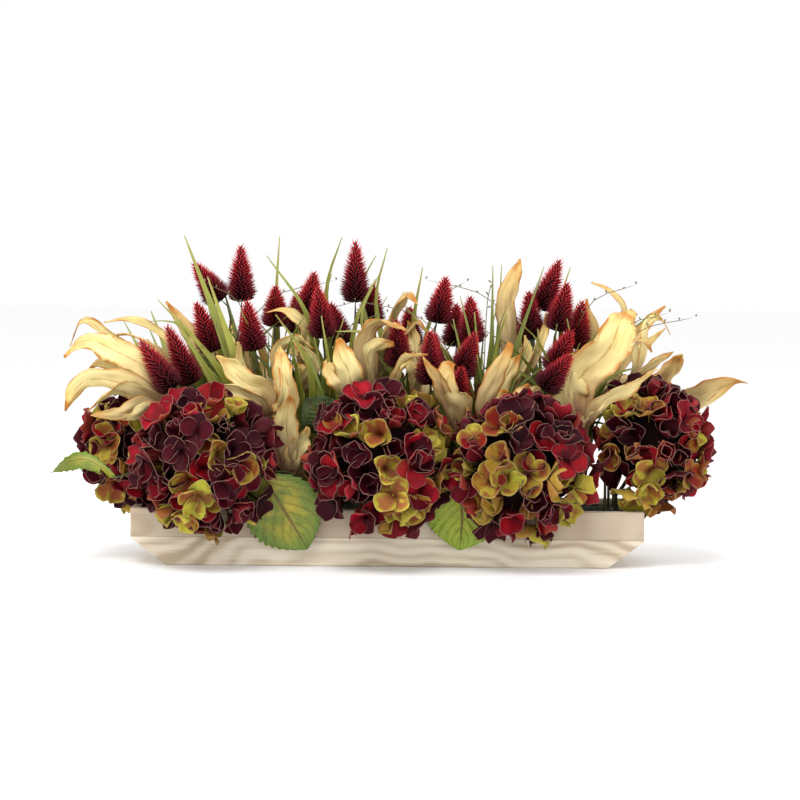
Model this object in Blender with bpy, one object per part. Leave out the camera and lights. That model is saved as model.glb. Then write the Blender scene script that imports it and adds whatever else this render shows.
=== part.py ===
"""Flower centerpiece in a long wooden box: hydrangeas, foxtails, grass, husk leaves and green leaves.

Metres, +Z up. X runs along the box and the front is at -Y. The origin is the middle of the box's
underside. Everything that grows stands on a wire stem in a hole of the foam block in the box.
"""

import math

import bmesh
import bpy
import numpy as np

# ---------------------------------------------------------------- driving dimensions
GAP = 0.0003                     # between neighbouring solids

BOX_LENGTH = 0.550
BOX_DEPTH = 0.140
BOX_HEIGHT = 0.061
BOARD = 0.009                    # thickness of every board
CUT_LENGTH = 0.038               # the lower corners of the long boards are cut off
CUT_HEIGHT = 0.029
BOARD_EDGE = 0.0012              # rounding of the long boards' edges

FOAM_TOP = 0.052
HOLE_BOTTOM = 0.027
STEM_RADIUS = 0.0021             # wire stem in the foam, a three-sided bar
STEM_SIDES = 3
THIN_RADIUS = 0.0010             # single stalk of a foxtail or a green leaf
STALK_STEPS = 4                  # points along such a stalk
SPRAY_KNOT = BOX_HEIGHT + 0.010  # height at which the foxtails of one spray part
TUFT_KNOT = BOX_HEIGHT + 0.008   # height at which the blades of one tuft of grass part

KNOT_RADIUS = 0.0042             # knot in which the leaves of one cluster meet
BLADE = 0.0010                   # thickness of husks, leaves and petals
GRASS_KEEL = 0.0016              # depth of the fold along a blade of grass
GRASS_ROLL = 30                  # degrees that a blade of grass is turned from the front
GRASS_STEPS = 4
LEAF_STEPS = 8                   # rows of points along a green leaf, one for each tooth and notch
LEAF_HOLLOW = 0.06               # how far its midrib lies in, as a share of its width

FLORETS = 12                     # on one hydrangea head
FLORET_RADIUS = 0.029
FLORET_STALK = 0.0022            # half the thickness of a floret's stalk under its petals
PETAL_DEPTH = 0.010              # from a head's outline in to the middle of a floret
HEAD_SPREAD = 104                # degrees from a head's facing direction to its outermost florets
CORE_SHARE = 0.62                # core of a head, as a share of the head
TWIST = 0.006                    # how much further a floret may turn from its place at each try

SPIKE_RADIUS = 0.0155            # a foxtail at its bristle tips
SPIKE_SIDES = 8
SPIKE_RINGS = (0.02, 0.22, 0.43, 0.64, 0.85)
SPIKE_LEAN = 15                  # how much a foxtail leans back or forwards per metre that it is bent

ROOT_SPACING = 0.0085            # least distance between two holes in the foam
ROOT_MARGIN = 0.006              # from a hole to the boards
ROOT_STEP = 0.004                # between the places that are tried for a hole
CELL = 0.0025                    # size of the cells in which the arrangement is kept clear
FINE_CELL = 0.0020               # and of those that keep the leaves of one cluster apart
SPACING = 0.0016                 # between the points that stand for a surface there
TRIES = 60                       # how often a stem is bent before it is made smaller
BEND = np.array((0.0004, 0.0010, 0.0004))    # how much further it may bend at each try

REACH = np.array(((-0.3685, -0.168, 0.0), (0.3935, 0.168, 0.356)))   # lowest and highest corner of it all

# ---------------------------------------------------------------- the arrangement
# Hydrangea heads: root of the stem, centre of the head, its half sizes, and the way it faces.
HEADS = {
    "hydrangea_1": ((-0.2395, 0.000), (-0.2755, 0.000, 0.118), (0.060, 0.060, 0.064), (-0.9, -0.25, 0.35)),
    "hydrangea_2": ((-0.1925, -0.045), (-0.1925, -0.090, 0.112), (0.073, 0.062, 0.078), (0.0, -0.9, 0.3)),
    "hydrangea_3": ((-0.0075, -0.045), (-0.0075, -0.090, 0.117), (0.077, 0.062, 0.078), (0.0, -0.9, 0.3)),
    "hydrangea_4": ((0.1425, -0.045), (0.1425, -0.090, 0.112), (0.076, 0.062, 0.078), (0.0, -0.9, 0.3)),
    "hydrangea_5": ((0.2500, -0.010), (0.2825, -0.030, 0.132), (0.066, 0.062, 0.072), (0.7, -0.6, 0.35)),
    "hydrangea_6": ((-0.1925, 0.045), (-0.1925, 0.090, 0.112), (0.073, 0.062, 0.078), (0.0, 0.9, 0.3)),
    "hydrangea_7": ((-0.0075, 0.045), (-0.0075, 0.090, 0.117), (0.077, 0.062, 0.078), (0.0, 0.9, 0.3)),
    "hydrangea_8": ((0.1425, 0.045), (0.1425, 0.090, 0.112), (0.076, 0.062, 0.078), (0.0, 0.9, 0.3)),
}

# Sprays of foxtails: root, then for each spike its tip, its lean from upright in degrees and its length.
FOXTAILS = {
    "foxtails_1": ((-0.1825, 0.015), [((-0.2175, 0.020, 0.325), -35, 0.054),
                                     ((-0.1625, 0.000, 0.345), 0, 0.064),
                                     ((-0.2125, 0.000, 0.282), -20, 0.060)]),
    "foxtails_2": ((-0.1925, -0.015), [((-0.2425, -0.020, 0.257), -24, 0.072),
                                      ((-0.2495, -0.055, 0.237), -36, 0.068),
                                      ((-0.1555, -0.015, 0.285), -8, 0.058)]),
    "foxtails_3": ((-0.0975, 0.030), [((-0.1275, 0.050, 0.300), 0, 0.048),
                                     ((-0.1055, 0.070, 0.292), -6, 0.048),
                                     ((-0.0825, 0.020, 0.316), 10, 0.052)]),
    "foxtails_4": ((-0.0425, -0.015), [((-0.0775, -0.020, 0.300), -6, 0.058),
                                      ((-0.0655, 0.020, 0.282), -14, 0.050),
                                      ((-0.0375, 0.000, 0.351), 0, 0.070)]),
    "foxtails_5": ((-0.0025, 0.015), [((-0.0175, 0.030, 0.302), 6, 0.048),
                                     ((0.0225, 0.040, 0.278), 0, 0.048)]),
    "foxtails_6": ((0.0175, -0.015), [((0.0075, -0.030, 0.266), -4, 0.054),
                                     ((0.0425, -0.055, 0.236), 0, 0.062),
                                     ((0.0485, -0.010, 0.252), -4, 0.056)]),
    "foxtails_7": ((0.0675, 0.015), [((0.0625, 0.010, 0.312), 10, 0.054),
                                    ((0.0885, 0.005, 0.291), -2, 0.054),
                                    ((0.0745, 0.045, 0.282), 0, 0.050)]),
    "foxtails_8": ((0.0675, -0.015), [((0.0945, -0.030, 0.252), 20, 0.054),
                                     ((0.0765, -0.035, 0.214), 6, 0.052),
                                     ((0.0505, -0.075, 0.190), 8, 0.046)]),
    "foxtails_9": ((0.1575, 0.015), [((0.1345, 0.050, 0.276), -5, 0.050),
                                    ((0.1525, 0.010, 0.297), -5, 0.056),
                                    ((0.1885, 0.025, 0.332), 20, 0.062)]),
    "foxtails_10": ((0.1825, -0.015), [((0.1945, -0.010, 0.307), 12, 0.056),
                                      ((0.2125, 0.010, 0.287), 8, 0.056),
                                      ((0.1985, -0.030, 0.256), 25, 0.052),
                                      ((0.1965, -0.060, 0.230), 38, 0.050)]),
}

# Clusters of husk leaves: root, height of the knot, then for each leaf its width, its roll about its
# length in degrees (0 faces the front), and the points of its middle line past the knot.
HUSKS = {
    "husks_1": ((-0.2195, 0.015), 0.150, [
        (0.011, 40, [(-0.2495, -0.015, 0.205), (-0.2925, -0.025, 0.225), (-0.3195, -0.030, 0.236),
                     (-0.3435, -0.030, 0.246), (-0.3625, -0.035, 0.220)]),
        (0.015, 0, [(-0.2625, -0.005, 0.200), (-0.2995, -0.010, 0.228), (-0.3225, -0.010, 0.252)]),
        (0.018, 20, [(-0.2495, 0.020, 0.195), (-0.2755, 0.022, 0.212), (-0.2935, 0.022, 0.222)]),
        (0.013, 50, [(-0.2375, 0.005, 0.225), (-0.2625, 0.005, 0.247), (-0.2875, 0.000, 0.254),
                     (-0.3075, 0.000, 0.247)])]),
    "husks_2": ((-0.2195, -0.030), 0.150, [
        (0.026, 30, [(-0.2575, -0.040, 0.205), (-0.2975, -0.045, 0.224), (-0.3225, -0.050, 0.230),
                     (-0.3475, -0.050, 0.216)]),
        (0.026, 0, [(-0.2575, -0.050, 0.188), (-0.2855, -0.060, 0.200), (-0.3095, -0.062, 0.196),
                    (-0.3275, -0.062, 0.168)]),
        (0.016, 0, [(-0.2595, -0.045, 0.172), (-0.2855, -0.055, 0.164), (-0.3125, -0.060, 0.167)]),
        (0.028, -20, [(-0.2295, -0.036, 0.196), (-0.2595, -0.036, 0.212), (-0.2895, -0.038, 0.217)])]),
    "husks_3": ((-0.1575, 0.015), 0.160, [
        (0.017, 20, [(-0.2025, 0.015, 0.205), (-0.2305, 0.015, 0.250), (-0.2525, 0.015, 0.277)]),
        (0.014, 0, [(-0.1925, 0.020, 0.210), (-0.2095, 0.025, 0.262)]),
        (0.016, -30, [(-0.1425, -0.010, 0.190), (-0.1475, -0.020, 0.236)])]),
    "husks_4": ((-0.1395, -0.024), 0.140, [
        (0.024, 10, [(-0.1335, -0.025, 0.182), (-0.1545, -0.030, 0.196), (-0.1895, -0.035, 0.218)]),
        (0.018, 0, [(-0.1355, -0.038, 0.172), (-0.1595, -0.045, 0.186), (-0.1935, -0.050, 0.192)]),
        (0.014, 20, [(-0.1525, -0.015, 0.190), (-0.1735, -0.020, 0.232)])]),
    "husks_5": ((-0.1075, 0.015), 0.170, [
        (0.019, 30, [(-0.0925, 0.010, 0.245), (-0.1125, 0.005, 0.265), (-0.1355, 0.000, 0.270)]),
        (0.017, 40, [(-0.1195, -0.005, 0.210), (-0.1175, -0.010, 0.234), (-0.0975, -0.012, 0.246),
                     (-0.0715, -0.015, 0.238)]),
        (0.015, 0, [(-0.0825, -0.020, 0.212), (-0.1025, -0.028, 0.240)])]),
    "husks_6": ((-0.1225, -0.015), 0.130, [
        (0.024, 0, [(-0.1095, -0.030, 0.175), (-0.1135, -0.034, 0.208), (-0.1195, -0.030, 0.235)]),
        (0.011, 30, [(-0.1155, -0.050, 0.175), (-0.1145, -0.056, 0.212)]),
        (0.016, 55, [(-0.1475, -0.030, 0.185), (-0.1545, -0.040, 0.232), (-0.1425, -0.045, 0.256),
                     (-0.1275, -0.050, 0.226), (-0.1185, -0.055, 0.190)])]),
    "husks_7": ((-0.1075, -0.045), 0.090, [
        (0.022, 0, [(-0.1055, -0.065, 0.150), (-0.1035, -0.074, 0.186)]),
        (0.017, 40, [(-0.1175, -0.075, 0.125), (-0.1095, -0.085, 0.166), (-0.0935, -0.098, 0.116)]),
        (0.015, 30, [(-0.0995, -0.085, 0.112), (-0.0875, -0.098, 0.096), (-0.0755, -0.104, 0.080)])]),
    "husks_8": ((-0.0225, -0.015), 0.165, [
        (0.017, 45, [(-0.0095, -0.005, 0.230), (0.0025, -0.005, 0.278), (0.0185, -0.010, 0.296),
                     (0.0325, -0.015, 0.280)]),
        (0.026, 30, [(-0.0215, -0.025, 0.205), (-0.0235, -0.030, 0.245), (-0.0075, -0.035, 0.266),
                     (0.0145, -0.040, 0.270)]),
        (0.030, 0, [(-0.0415, -0.050, 0.190), (-0.0435, -0.055, 0.215), (-0.0585, -0.055, 0.241)])]),
    "husks_9": ((0.0245, -0.018), 0.160, [
        (0.014, 30, [(0.0095, -0.030, 0.195), (0.0125, -0.042, 0.215), (0.0205, -0.048, 0.228),
                     (0.0425, -0.050, 0.236)]),
        (0.013, 0, [(0.0265, -0.040, 0.195), (0.0265, -0.050, 0.212), (0.0185, -0.052, 0.230)]),
        (0.015, 0, [(0.0325, -0.010, 0.215), (0.0335, 0.012, 0.272)])]),
    "husks_10": ((0.0845, -0.045), 0.125, [
        (0.032, 10, [(0.0705, -0.062, 0.168), (0.0605, -0.070, 0.190), (0.0725, -0.068, 0.212)]),
        (0.022, 0, [(0.0865, -0.052, 0.150), (0.0785, -0.058, 0.178)]),
        (0.015, 0, [(0.0685, -0.030, 0.200), (0.0625, -0.020, 0.256)])]),
    "husks_11": ((0.1125, -0.045), 0.125, [
        (0.019, 0, [(0.0945, -0.055, 0.168), (0.0985, -0.055, 0.200), (0.1085, -0.055, 0.231)]),
        (0.019, 0, [(0.1075, -0.045, 0.172), (0.1245, -0.042, 0.200), (0.1435, -0.040, 0.226)]),
        (0.019, 0, [(0.1175, -0.060, 0.168), (0.1405, -0.064, 0.191), (0.1685, -0.064, 0.211)]),
        (0.017, 10, [(0.1305, -0.072, 0.160), (0.1605, -0.082, 0.178), (0.1905, -0.082, 0.194)])]),
    "husks_12": ((0.1275, 0.015), 0.170, [
        (0.021, 0, [(0.1315, 0.020, 0.240), (0.1305, 0.022, 0.290), (0.1385, 0.020, 0.331)]),
        (0.013, 20, [(0.1545, 0.000, 0.215), (0.1675, -0.005, 0.245), (0.1685, -0.005, 0.272)])]),
    "husks_13": ((0.2075, 0.015), 0.150, [
        (0.021, 0, [(0.2135, 0.020, 0.220), (0.2225, 0.025, 0.255), (0.2185, 0.025, 0.287)]),
        (0.011, 45, [(0.2385, 0.010, 0.215), (0.2555, 0.005, 0.268), (0.2405, 0.000, 0.290),
                     (0.2185, 0.000, 0.296)])]),
    "husks_14": ((0.2125, -0.045), 0.140, [
        (0.042, 0, [(0.2075, -0.040, 0.198), (0.2295, -0.040, 0.232), (0.2665, -0.035, 0.276)]),
        (0.018, 20, [(0.2245, -0.060, 0.178), (0.2585, -0.065, 0.206), (0.2885, -0.065, 0.232)])]),
    "husks_15": ((0.2375, -0.015), 0.160, [
        (0.017, 0, [(0.2445, 0.010, 0.218), (0.2645, 0.014, 0.242), (0.2785, 0.014, 0.262)]),
        (0.020, 10, [(0.2625, -0.025, 0.200), (0.2945, -0.030, 0.222), (0.3185, -0.030, 0.242)])]),
    "husks_16": ((0.2445, 0.018), 0.165, [
        (0.013, 10, [(0.2625, 0.020, 0.215), (0.2785, 0.020, 0.256)]),
        (0.010, 40, [(0.2745, 0.005, 0.220), (0.2785, 0.005, 0.260), (0.2925, 0.005, 0.266),
                     (0.3035, 0.000, 0.248)])]),
    "husks_17": ((0.2525, 0.045), 0.130, [
        (0.027, 0, [(0.2875, 0.050, 0.175), (0.3065, 0.035, 0.205), (0.3235, 0.025, 0.233)]),
        (0.024, 0, [(0.2975, 0.045, 0.165), (0.3275, 0.035, 0.176), (0.3575, 0.020, 0.190),
                    (0.3895, 0.010, 0.207)]),
        (0.016, 20, [(0.3025, 0.055, 0.150), (0.3275, 0.055, 0.160), (0.3575, 0.045, 0.176),
                     (0.3895, 0.035, 0.193)])]),
}
# Two clusters stand again behind, seen from the other side.
HUSKS_BEHIND = {"husks_18": "husks_4", "husks_19": "husks_11"}

# Tufts of grass: root, then for each blade its width and the points of its middle line past the root.
GRASS = {
    "grass_1": ((-0.2005, 0.030), [
        (0.008, [(-0.2495, -0.005, 0.200), (-0.2875, -0.015, 0.246)]),
        (0.008, [(-0.2475, -0.010, 0.170), (-0.3175, -0.040, 0.202)]),
        (0.009, [(-0.2375, 0.000, 0.180), (-0.3035, -0.015, 0.210)]),
        (0.006, [(-0.1925, 0.015, 0.200), (-0.2275, 0.010, 0.250), (-0.2555, 0.005, 0.252)]),
        (0.006, [(-0.1925, 0.030, 0.200), (-0.2025, 0.030, 0.250), (-0.2235, 0.030, 0.316)])]),
    "grass_2": ((-0.1325, 0.015), [
        (0.010, [(-0.1425, -0.012, 0.160), (-0.1595, -0.026, 0.230), (-0.1945, -0.026, 0.336)]),
        (0.007, [(-0.1375, 0.030, 0.190), (-0.1475, 0.035, 0.280), (-0.1535, 0.035, 0.340)]),
        (0.007, [(-0.1495, -0.010, 0.180), (-0.1695, -0.015, 0.232), (-0.1995, -0.020, 0.280)]),
        (0.007, [(-0.1625, 0.050, 0.170), (-0.2025, 0.085, 0.230)])]),
    "grass_3": ((-0.0845, 0.012), [
        (0.007, [(-0.0825, 0.010, 0.190), (-0.0915, 0.010, 0.262), (-0.1375, 0.010, 0.327)]),
        (0.007, [(-0.1055, 0.040, 0.190), (-0.1175, 0.045, 0.275), (-0.1175, 0.045, 0.330)]),
        (0.006, [(-0.0995, 0.010, 0.200), (-0.1135, 0.010, 0.282)]),
        (0.007, [(-0.0825, 0.060, 0.170), (-0.1075, 0.095, 0.235)])]),
    "grass_4": ((-0.0575, 0.020), [
        (0.008, [(-0.0675, 0.015, 0.200), (-0.0725, 0.010, 0.290), (-0.0575, 0.010, 0.346)]),
        (0.006, [(-0.0605, -0.030, 0.180), (-0.0735, -0.040, 0.264)]),
        (0.006, [(-0.0655, -0.035, 0.160), (-0.0895, -0.055, 0.236)]),
        (0.007, [(-0.0495, 0.050, 0.190), (-0.0325, 0.070, 0.270)])]),
    "grass_5": ((0.0245, 0.020), [
        (0.009, [(0.0105, -0.010, 0.195), (-0.0275, -0.020, 0.258), (-0.0655, -0.020, 0.268)]),
        (0.007, [(0.0025, 0.015, 0.200), (-0.0145, 0.015, 0.280), (-0.0025, 0.015, 0.341)]),
        (0.007, [(-0.0055, 0.000, 0.200), (-0.0255, -0.005, 0.290), (-0.0075, -0.005, 0.331)]),
        (0.008, [(0.0285, 0.010, 0.235), (0.0435, 0.010, 0.302)]),
        (0.007, [(0.0225, 0.060, 0.180), (0.0325, 0.090, 0.250)])]),
    "grass_6": ((0.1025, -0.010), [
        (0.006, [(0.1025, 0.000, 0.210), (0.0985, 0.000, 0.260), (0.0925, 0.000, 0.306)]),
        (0.006, [(0.1085, 0.020, 0.210), (0.1065, 0.020, 0.270), (0.1035, 0.020, 0.321)]),
        (0.006, [(0.1105, -0.015, 0.210), (0.1105, -0.015, 0.312)]),
        (0.006, [(0.1185, 0.000, 0.210), (0.1245, 0.000, 0.306)]),
        (0.006, [(0.1245, 0.040, 0.200), (0.1425, 0.060, 0.286)]),
        (0.006, [(0.0925, 0.010, 0.200), (0.0485, 0.020, 0.286)]),
        (0.006, [(0.0905, -0.020, 0.190), (0.0785, -0.030, 0.270)])]),
    "grass_7": ((0.1775, 0.025), [
        (0.007, [(0.1905, 0.020, 0.200), (0.1885, 0.015, 0.280), (0.1985, 0.010, 0.322)]),
        (0.009, [(0.1745, -0.020, 0.170), (0.1725, -0.030, 0.216), (0.1935, -0.030, 0.267)]),
        (0.006, [(0.1625, 0.030, 0.200), (0.1525, 0.030, 0.281)]),
        (0.007, [(0.1925, 0.050, 0.170), (0.2275, 0.085, 0.235)])]),
    "grass_8": ((0.2075, -0.015), [
        (0.008, [(0.2025, -0.035, 0.195), (0.2325, -0.040, 0.246), (0.2805, -0.040, 0.262)]),
        (0.008, [(0.1985, -0.055, 0.165), (0.2325, -0.072, 0.194), (0.2685, -0.075, 0.190)]),
        (0.006, [(0.2125, -0.025, 0.180), (0.2385, -0.030, 0.212)])]),
}

# Green hydrangea leaves: root, height of the knot, width, roll, and the points of the midrib. The stalk
# runs from the knot to the first point.
LEAVES = {
    "leaf_1": ((-0.0805, -0.045), 0.078, 0.082, 0, [(-0.1325, -0.083, 0.098), (-0.1085, -0.081, 0.058),
                                                    (-0.0845, -0.081, 0.020)]),
    "leaf_2": ((0.0575, -0.045), 0.078, 0.074, 0, [(0.0760, -0.083, 0.092), (0.0800, -0.081, 0.056),
                                                   (0.0775, -0.081, 0.020)]),
    "leaf_3": ((-0.2405, -0.030), 0.078, 0.045, -60, [(-0.2925, -0.055, 0.092), (-0.3275, -0.062, 0.110),
                                                      (-0.3595, -0.068, 0.098)]),
    "leaf_4": ((-0.0675, -0.033), 0.110, 0.045, 0, [(-0.0625, -0.045, 0.140), (-0.0725, -0.058, 0.160),
                                                    (-0.0895, -0.060, 0.178)]),
    "leaf_5": ((-0.0805, 0.045), 0.078, 0.082, 180, [(-0.1325, 0.083, 0.098), (-0.1085, 0.081, 0.058),
                                                     (-0.0845, 0.081, 0.020)]),
    "leaf_6": ((0.0575, 0.045), 0.078, 0.074, 180, [(0.0760, 0.083, 0.092), (0.0800, 0.081, 0.056),
                                                    (0.0775, 0.081, 0.020)]),
}

# ---------------------------------------------------------------- colours
COLOURS = {                      # base colour and roughness
    "wood": ((0.66, 0.55, 0.40), 0.75),
    "foam": ((0.030, 0.035, 0.020), 0.95),
    "hydrangea": ((0.16, 0.012, 0.020), 0.60),
    "foxtail": ((0.18, 0.010, 0.014), 0.65),
    "husk": ((0.72, 0.56, 0.32), 0.70),
    "grass": ((0.20, 0.27, 0.06), 0.55),
    "leaf": ((0.30, 0.40, 0.07), 0.55),
}


def material(name):
    """The material of that name, made at its first use."""
    found = bpy.data.materials.get(name)
    if found:
        return found
    made = bpy.data.materials.new(name)
    made.use_nodes = True
    colour, roughness = COLOURS[name]
    shader = made.node_tree.nodes["Principled BSDF"]
    shader.inputs["Base Color"].default_value = (*colour, 1.0)
    shader.inputs["Roughness"].default_value = roughness
    shader.inputs["Metallic"].default_value = 0.0
    return made


# ---------------------------------------------------------------- curves and grids of points
def smooth_path(points, count):
    """Smooth curve through the points (Catmull-Rom), read at even steps along its length."""
    p = np.asarray(points, float)
    p = np.vstack([2 * p[0] - p[1], p, 2 * p[-1] - p[-2]])
    u = np.linspace(0, 1, 17)[:, None]
    spans = [0.5 * (2 * b + (c - a) * u + (2 * a - 5 * b + 4 * c - d) * u ** 2
                    + (3 * b - a - 3 * c + d) * u ** 3)
             for a, b, c, d in zip(p, p[1:], p[2:], p[3:])]
    dense = np.vstack(spans)
    length = np.r_[0, np.cumsum(np.linalg.norm(np.diff(dense, axis=0), axis=1))]
    at = np.linspace(0, length[-1], count)
    return np.column_stack([np.interp(at, length, dense[:, k]) for k in range(3)])


def unit(vectors):
    return vectors / np.linalg.norm(vectors, axis=-1, keepdims=True)


def ribbon_axes(path, roll):
    """Sideways and outward directions along a path; a roll of 0 turns the ribbon's face to the front."""
    along = unit(np.gradient(path, axis=0))
    middle = unit(path[-1] - path[0])
    across = np.cross(middle, (0.0, -1.0, 0.0))
    if np.linalg.norm(across) < 0.2:
        across = np.array((1.0, 0.0, 0.0))
    across = unit(across)
    turn = math.radians(roll)
    across = across * math.cos(turn) + np.cross(middle, across) * math.sin(turn)
    side = unit(across - along * (along @ across)[:, None])
    return side, np.cross(side, along)


def husk_width(t):
    """Width of a husk leaf along its length: narrow stalk, widest past the middle, blunt tip."""
    rise = np.sin(0.5 * np.pi * np.clip((t + 0.05) / 0.6, 0, 1))
    fall = 1 - 0.82 * np.clip((t - 0.6) / 0.4, 0, 1) ** 2
    return rise * fall


def grass_width(t):
    """Width of a blade of grass: even for two thirds, then down to a fine tip."""
    return (0.55 + 0.45 * np.sin(np.pi * np.clip(t / 0.8, 0, 1))) * (1 - 0.9 * t ** 3)


def ribbon(points, width, roll, shape, steps, columns=2):
    """Grid of points over a ribbon: rows along its path, `columns` across."""
    t = np.linspace(0, 1, steps + 1)
    path = smooth_path(points, steps + 1)
    side, face = ribbon_axes(path, roll)
    v = np.linspace(-0.5, 0.5, columns)
    spread = (width * shape(t))[:, None, None] * v[None, :, None]
    return path[:, None, :] + spread * side[:, None, :], face


def fill_in(grid):
    """Points at most SPACING apart over a grid of points, on straight lines between them."""
    for axis in (0, 1):
        count = grid.shape[axis]
        if count < 2:
            continue
        widest = np.linalg.norm(np.diff(grid, axis=axis), axis=-1).max()
        times = max(1, math.ceil(widest / SPACING))
        at = np.linspace(0, count - 1, (count - 1) * times + 1)
        low = np.minimum(at.astype(int), count - 2)
        part = (at - low).reshape((-1, 1, 1) if axis == 0 else (1, -1, 1))
        start, end = np.take(grid, low, axis), np.take(grid, low + 1, axis)
        grid = start + (end - start) * part
    return grid.reshape(-1, 3)


# ---------------------------------------------------------------- keeping the stems apart
class Space:
    """The room round the box in small cells, which are free or taken."""

    low = np.array((-0.4275, -0.24, 0.0))
    room = np.array((0.88, 0.48, 0.40))

    def __init__(self, cell=CELL):
        self.cell = cell
        self.size = np.ceil(self.room / cell).astype(int)
        self.taken = np.zeros(self.size, bool)

    def cells(self, points):
        found = np.floor((points - self.low) / self.cell).astype(int)
        return np.clip(found, 1, self.size - 2)

    def take_block(self, low, high):
        first, last = self.cells(np.array([low, high]))
        self.taken[first[0]:last[0] + 1, first[1]:last[1] + 1, first[2]:last[2] + 1] = True

    def is_free(self, points):
        """Whether no point is out of reach or in a taken cell; stems may stand close over the foam."""
        if (points < REACH[0]).any() or (points > REACH[1]).any():
            return False
        inner = np.array((BOX_LENGTH, BOX_DEPTH)) / 2 - BOARD
        over_foam = (np.abs(points[:, :2]) < inner).all(axis=1)
        stems = over_foam & (points[:, 2] < BOX_HEIGHT + 2 * CELL)
        return not self.taken[tuple(self.cells(points[~stems]).T)].any()

    def take(self, points):
        """Take the cells of the points and the 26 cells round each."""
        near = np.indices((3, 3, 3)).reshape(3, -1).T - 1
        wanted = (self.cells(points)[:, None, :] + near[None]).reshape(-1, 3)
        self.taken[tuple(wanted.T)] = True


def bend_clear(space, own, seed, make):
    """Make a piece, bent a little more at each try, until it is clear of all that stands already.

    `make(sway, share)` gives the piece's grids of points, which stand for its surface, and its form. The
    last grid is its body, which also has to keep clear of the other bodies of its node, in the space
    `own`. After TRIES the piece is made smaller, and at last it is left out.
    """
    draw = np.random.default_rng(seed)
    for share in (1.0, 0.85, 0.7):
        for attempt in range(TRIES):
            sway = draw.normal(size=3) * BEND * attempt
            grids, form = make(sway, share)
            points, body = np.vstack([fill_in(grid) for grid in grids]), fill_in(grids[-1])
            if space.is_free(points) and own.is_free(body):
                own.take(body)
                return points, form
    return None


def clear_root(space, roots, root, height):
    """The free place nearest to `root` for a straight wire stem up to `height`; it joins `roots`."""
    steps = np.arange(-7, 8) * ROOT_STEP
    shifts = np.array([(x, y) for x in steps for y in steps])
    shifts = shifts[np.argsort((shifts ** 2).sum(axis=1), kind="stable")]
    inside = np.array((BOX_LENGTH / 2, BOX_DEPTH / 2)) - BOARD - ROOT_MARGIN
    for place in np.array(root) + shifts:
        if (np.abs(place) > inside).any():
            continue
        if roots and np.linalg.norm(np.array(roots) - place, axis=1).min() < ROOT_SPACING:
            continue
        if space.is_free(wire_points(np.array((*place, height + KNOT_RADIUS)))):
            roots.append(tuple(place))
            return tuple(place)
    raise ValueError(f"no room for a stem near {root}")


# ---------------------------------------------------------------- solids
def loft(rings, start=None, end=None):
    """Closed solid through rings of points, with a flat end or a point, `start` or `end`, at each end."""
    count, sides, _ = rings.shape
    ring = np.arange(sides)
    after = (ring + 1) % sides
    row = (np.arange(count - 1) * sides)[:, None]
    a, b = row + ring, row + after
    faces = np.concatenate([np.stack([a, b, b + sides], -1).reshape(-1, 3),
                            np.stack([a, b + sides, a + sides], -1).reshape(-1, 3)])
    fan = np.arange(1, sides - 1)
    first = np.stack([np.zeros_like(fan), fan + 1, fan], -1)
    last = np.stack([np.zeros_like(fan), fan, fan + 1], -1) + (count - 1) * sides
    points = rings.reshape(-1, 3)
    if start is not None:
        first = np.stack([np.full(sides, len(points)), after, ring], -1)
        points = np.vstack([points, start])
    if end is not None:
        last = np.stack([np.full(sides, len(points)), ring + (count - 1) * sides,
                         after + (count - 1) * sides], -1)
        points = np.vstack([points, end])
    return points, np.vstack([faces, first, last])


def slab(grid, face, thickness=BLADE):
    """Closed blade of even thickness on both sides of a grid, split into triangles alike on both."""
    rows, columns, _ = grid.shape
    shift = face[:, None, :] * thickness / 2
    points = np.concatenate([(grid + shift).reshape(-1, 3), (grid - shift).reshape(-1, 3)])
    index = np.arange(rows * columns).reshape(rows, columns)
    a, b, c, d = index[:-1, :-1], index[1:, :-1], index[1:, 1:], index[:-1, 1:]
    top = np.concatenate([np.stack([a, c, b], -1).reshape(-1, 3), np.stack([a, d, c], -1).reshape(-1, 3)])
    under = top[:, ::-1] + rows * columns
    edge = np.concatenate([index[0, :-1], index[:-1, -1], index[-1, :0:-1], index[:0:-1, 0]])
    after = np.roll(edge, -1)
    below, below_after = edge + rows * columns, after + rows * columns
    rim = np.concatenate([np.stack([edge, below, below_after], -1), np.stack([edge, below_after, after], -1)])
    return points, np.vstack([top, under, rim])


def bar(path, radius, sides):
    """Rings of a thin bar along a path, with its corners turned to face the box's sides."""
    along = unit(np.gradient(path, axis=0))
    side = unit(np.array((1.0, 0.0, 0.0)) - along * along[:, :1])
    other = np.cross(along, side)
    angle = 2 * np.pi * (np.arange(sides) + 0.5) / sides
    return (path[:, None, :] + radius * (np.cos(angle)[None, :, None] * side[:, None, :]
                                         + np.sin(angle)[None, :, None] * other[:, None, :]))


def knot(centre, radius):
    """Small eight-sided ball, which joins the leaves of a cluster."""
    points = np.array([(1, 0, 0), (0, 1, 0), (-1, 0, 0), (0, -1, 0), (0, 0, 1), (0, 0, -1)]) * radius + centre
    faces = [(0, 1, 4), (1, 2, 4), (2, 3, 4), (3, 0, 4), (1, 0, 5), (2, 1, 5), (3, 2, 5), (0, 3, 5)]
    return points, np.array(faces)


def oval(centre, radii):
    """Ball of 20 triangles stretched to the given half sizes."""
    ball = bmesh.new()
    bmesh.ops.create_icosphere(ball, subdivisions=1, radius=1.0)
    points = np.array([vertex.co[:] for vertex in ball.verts])
    faces = np.array([[vertex.index for vertex in face.verts] for face in ball.faces])
    ball.free()
    return points * radii + centre, faces


def wire(root, height):
    """The straight wire stem from the bottom of its hole up to the knot."""
    x, y = root
    path = np.array([(x, y, HOLE_BOTTOM + GAP), (x, y, height)])
    return loft(bar(path, STEM_RADIUS, STEM_SIDES))


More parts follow.
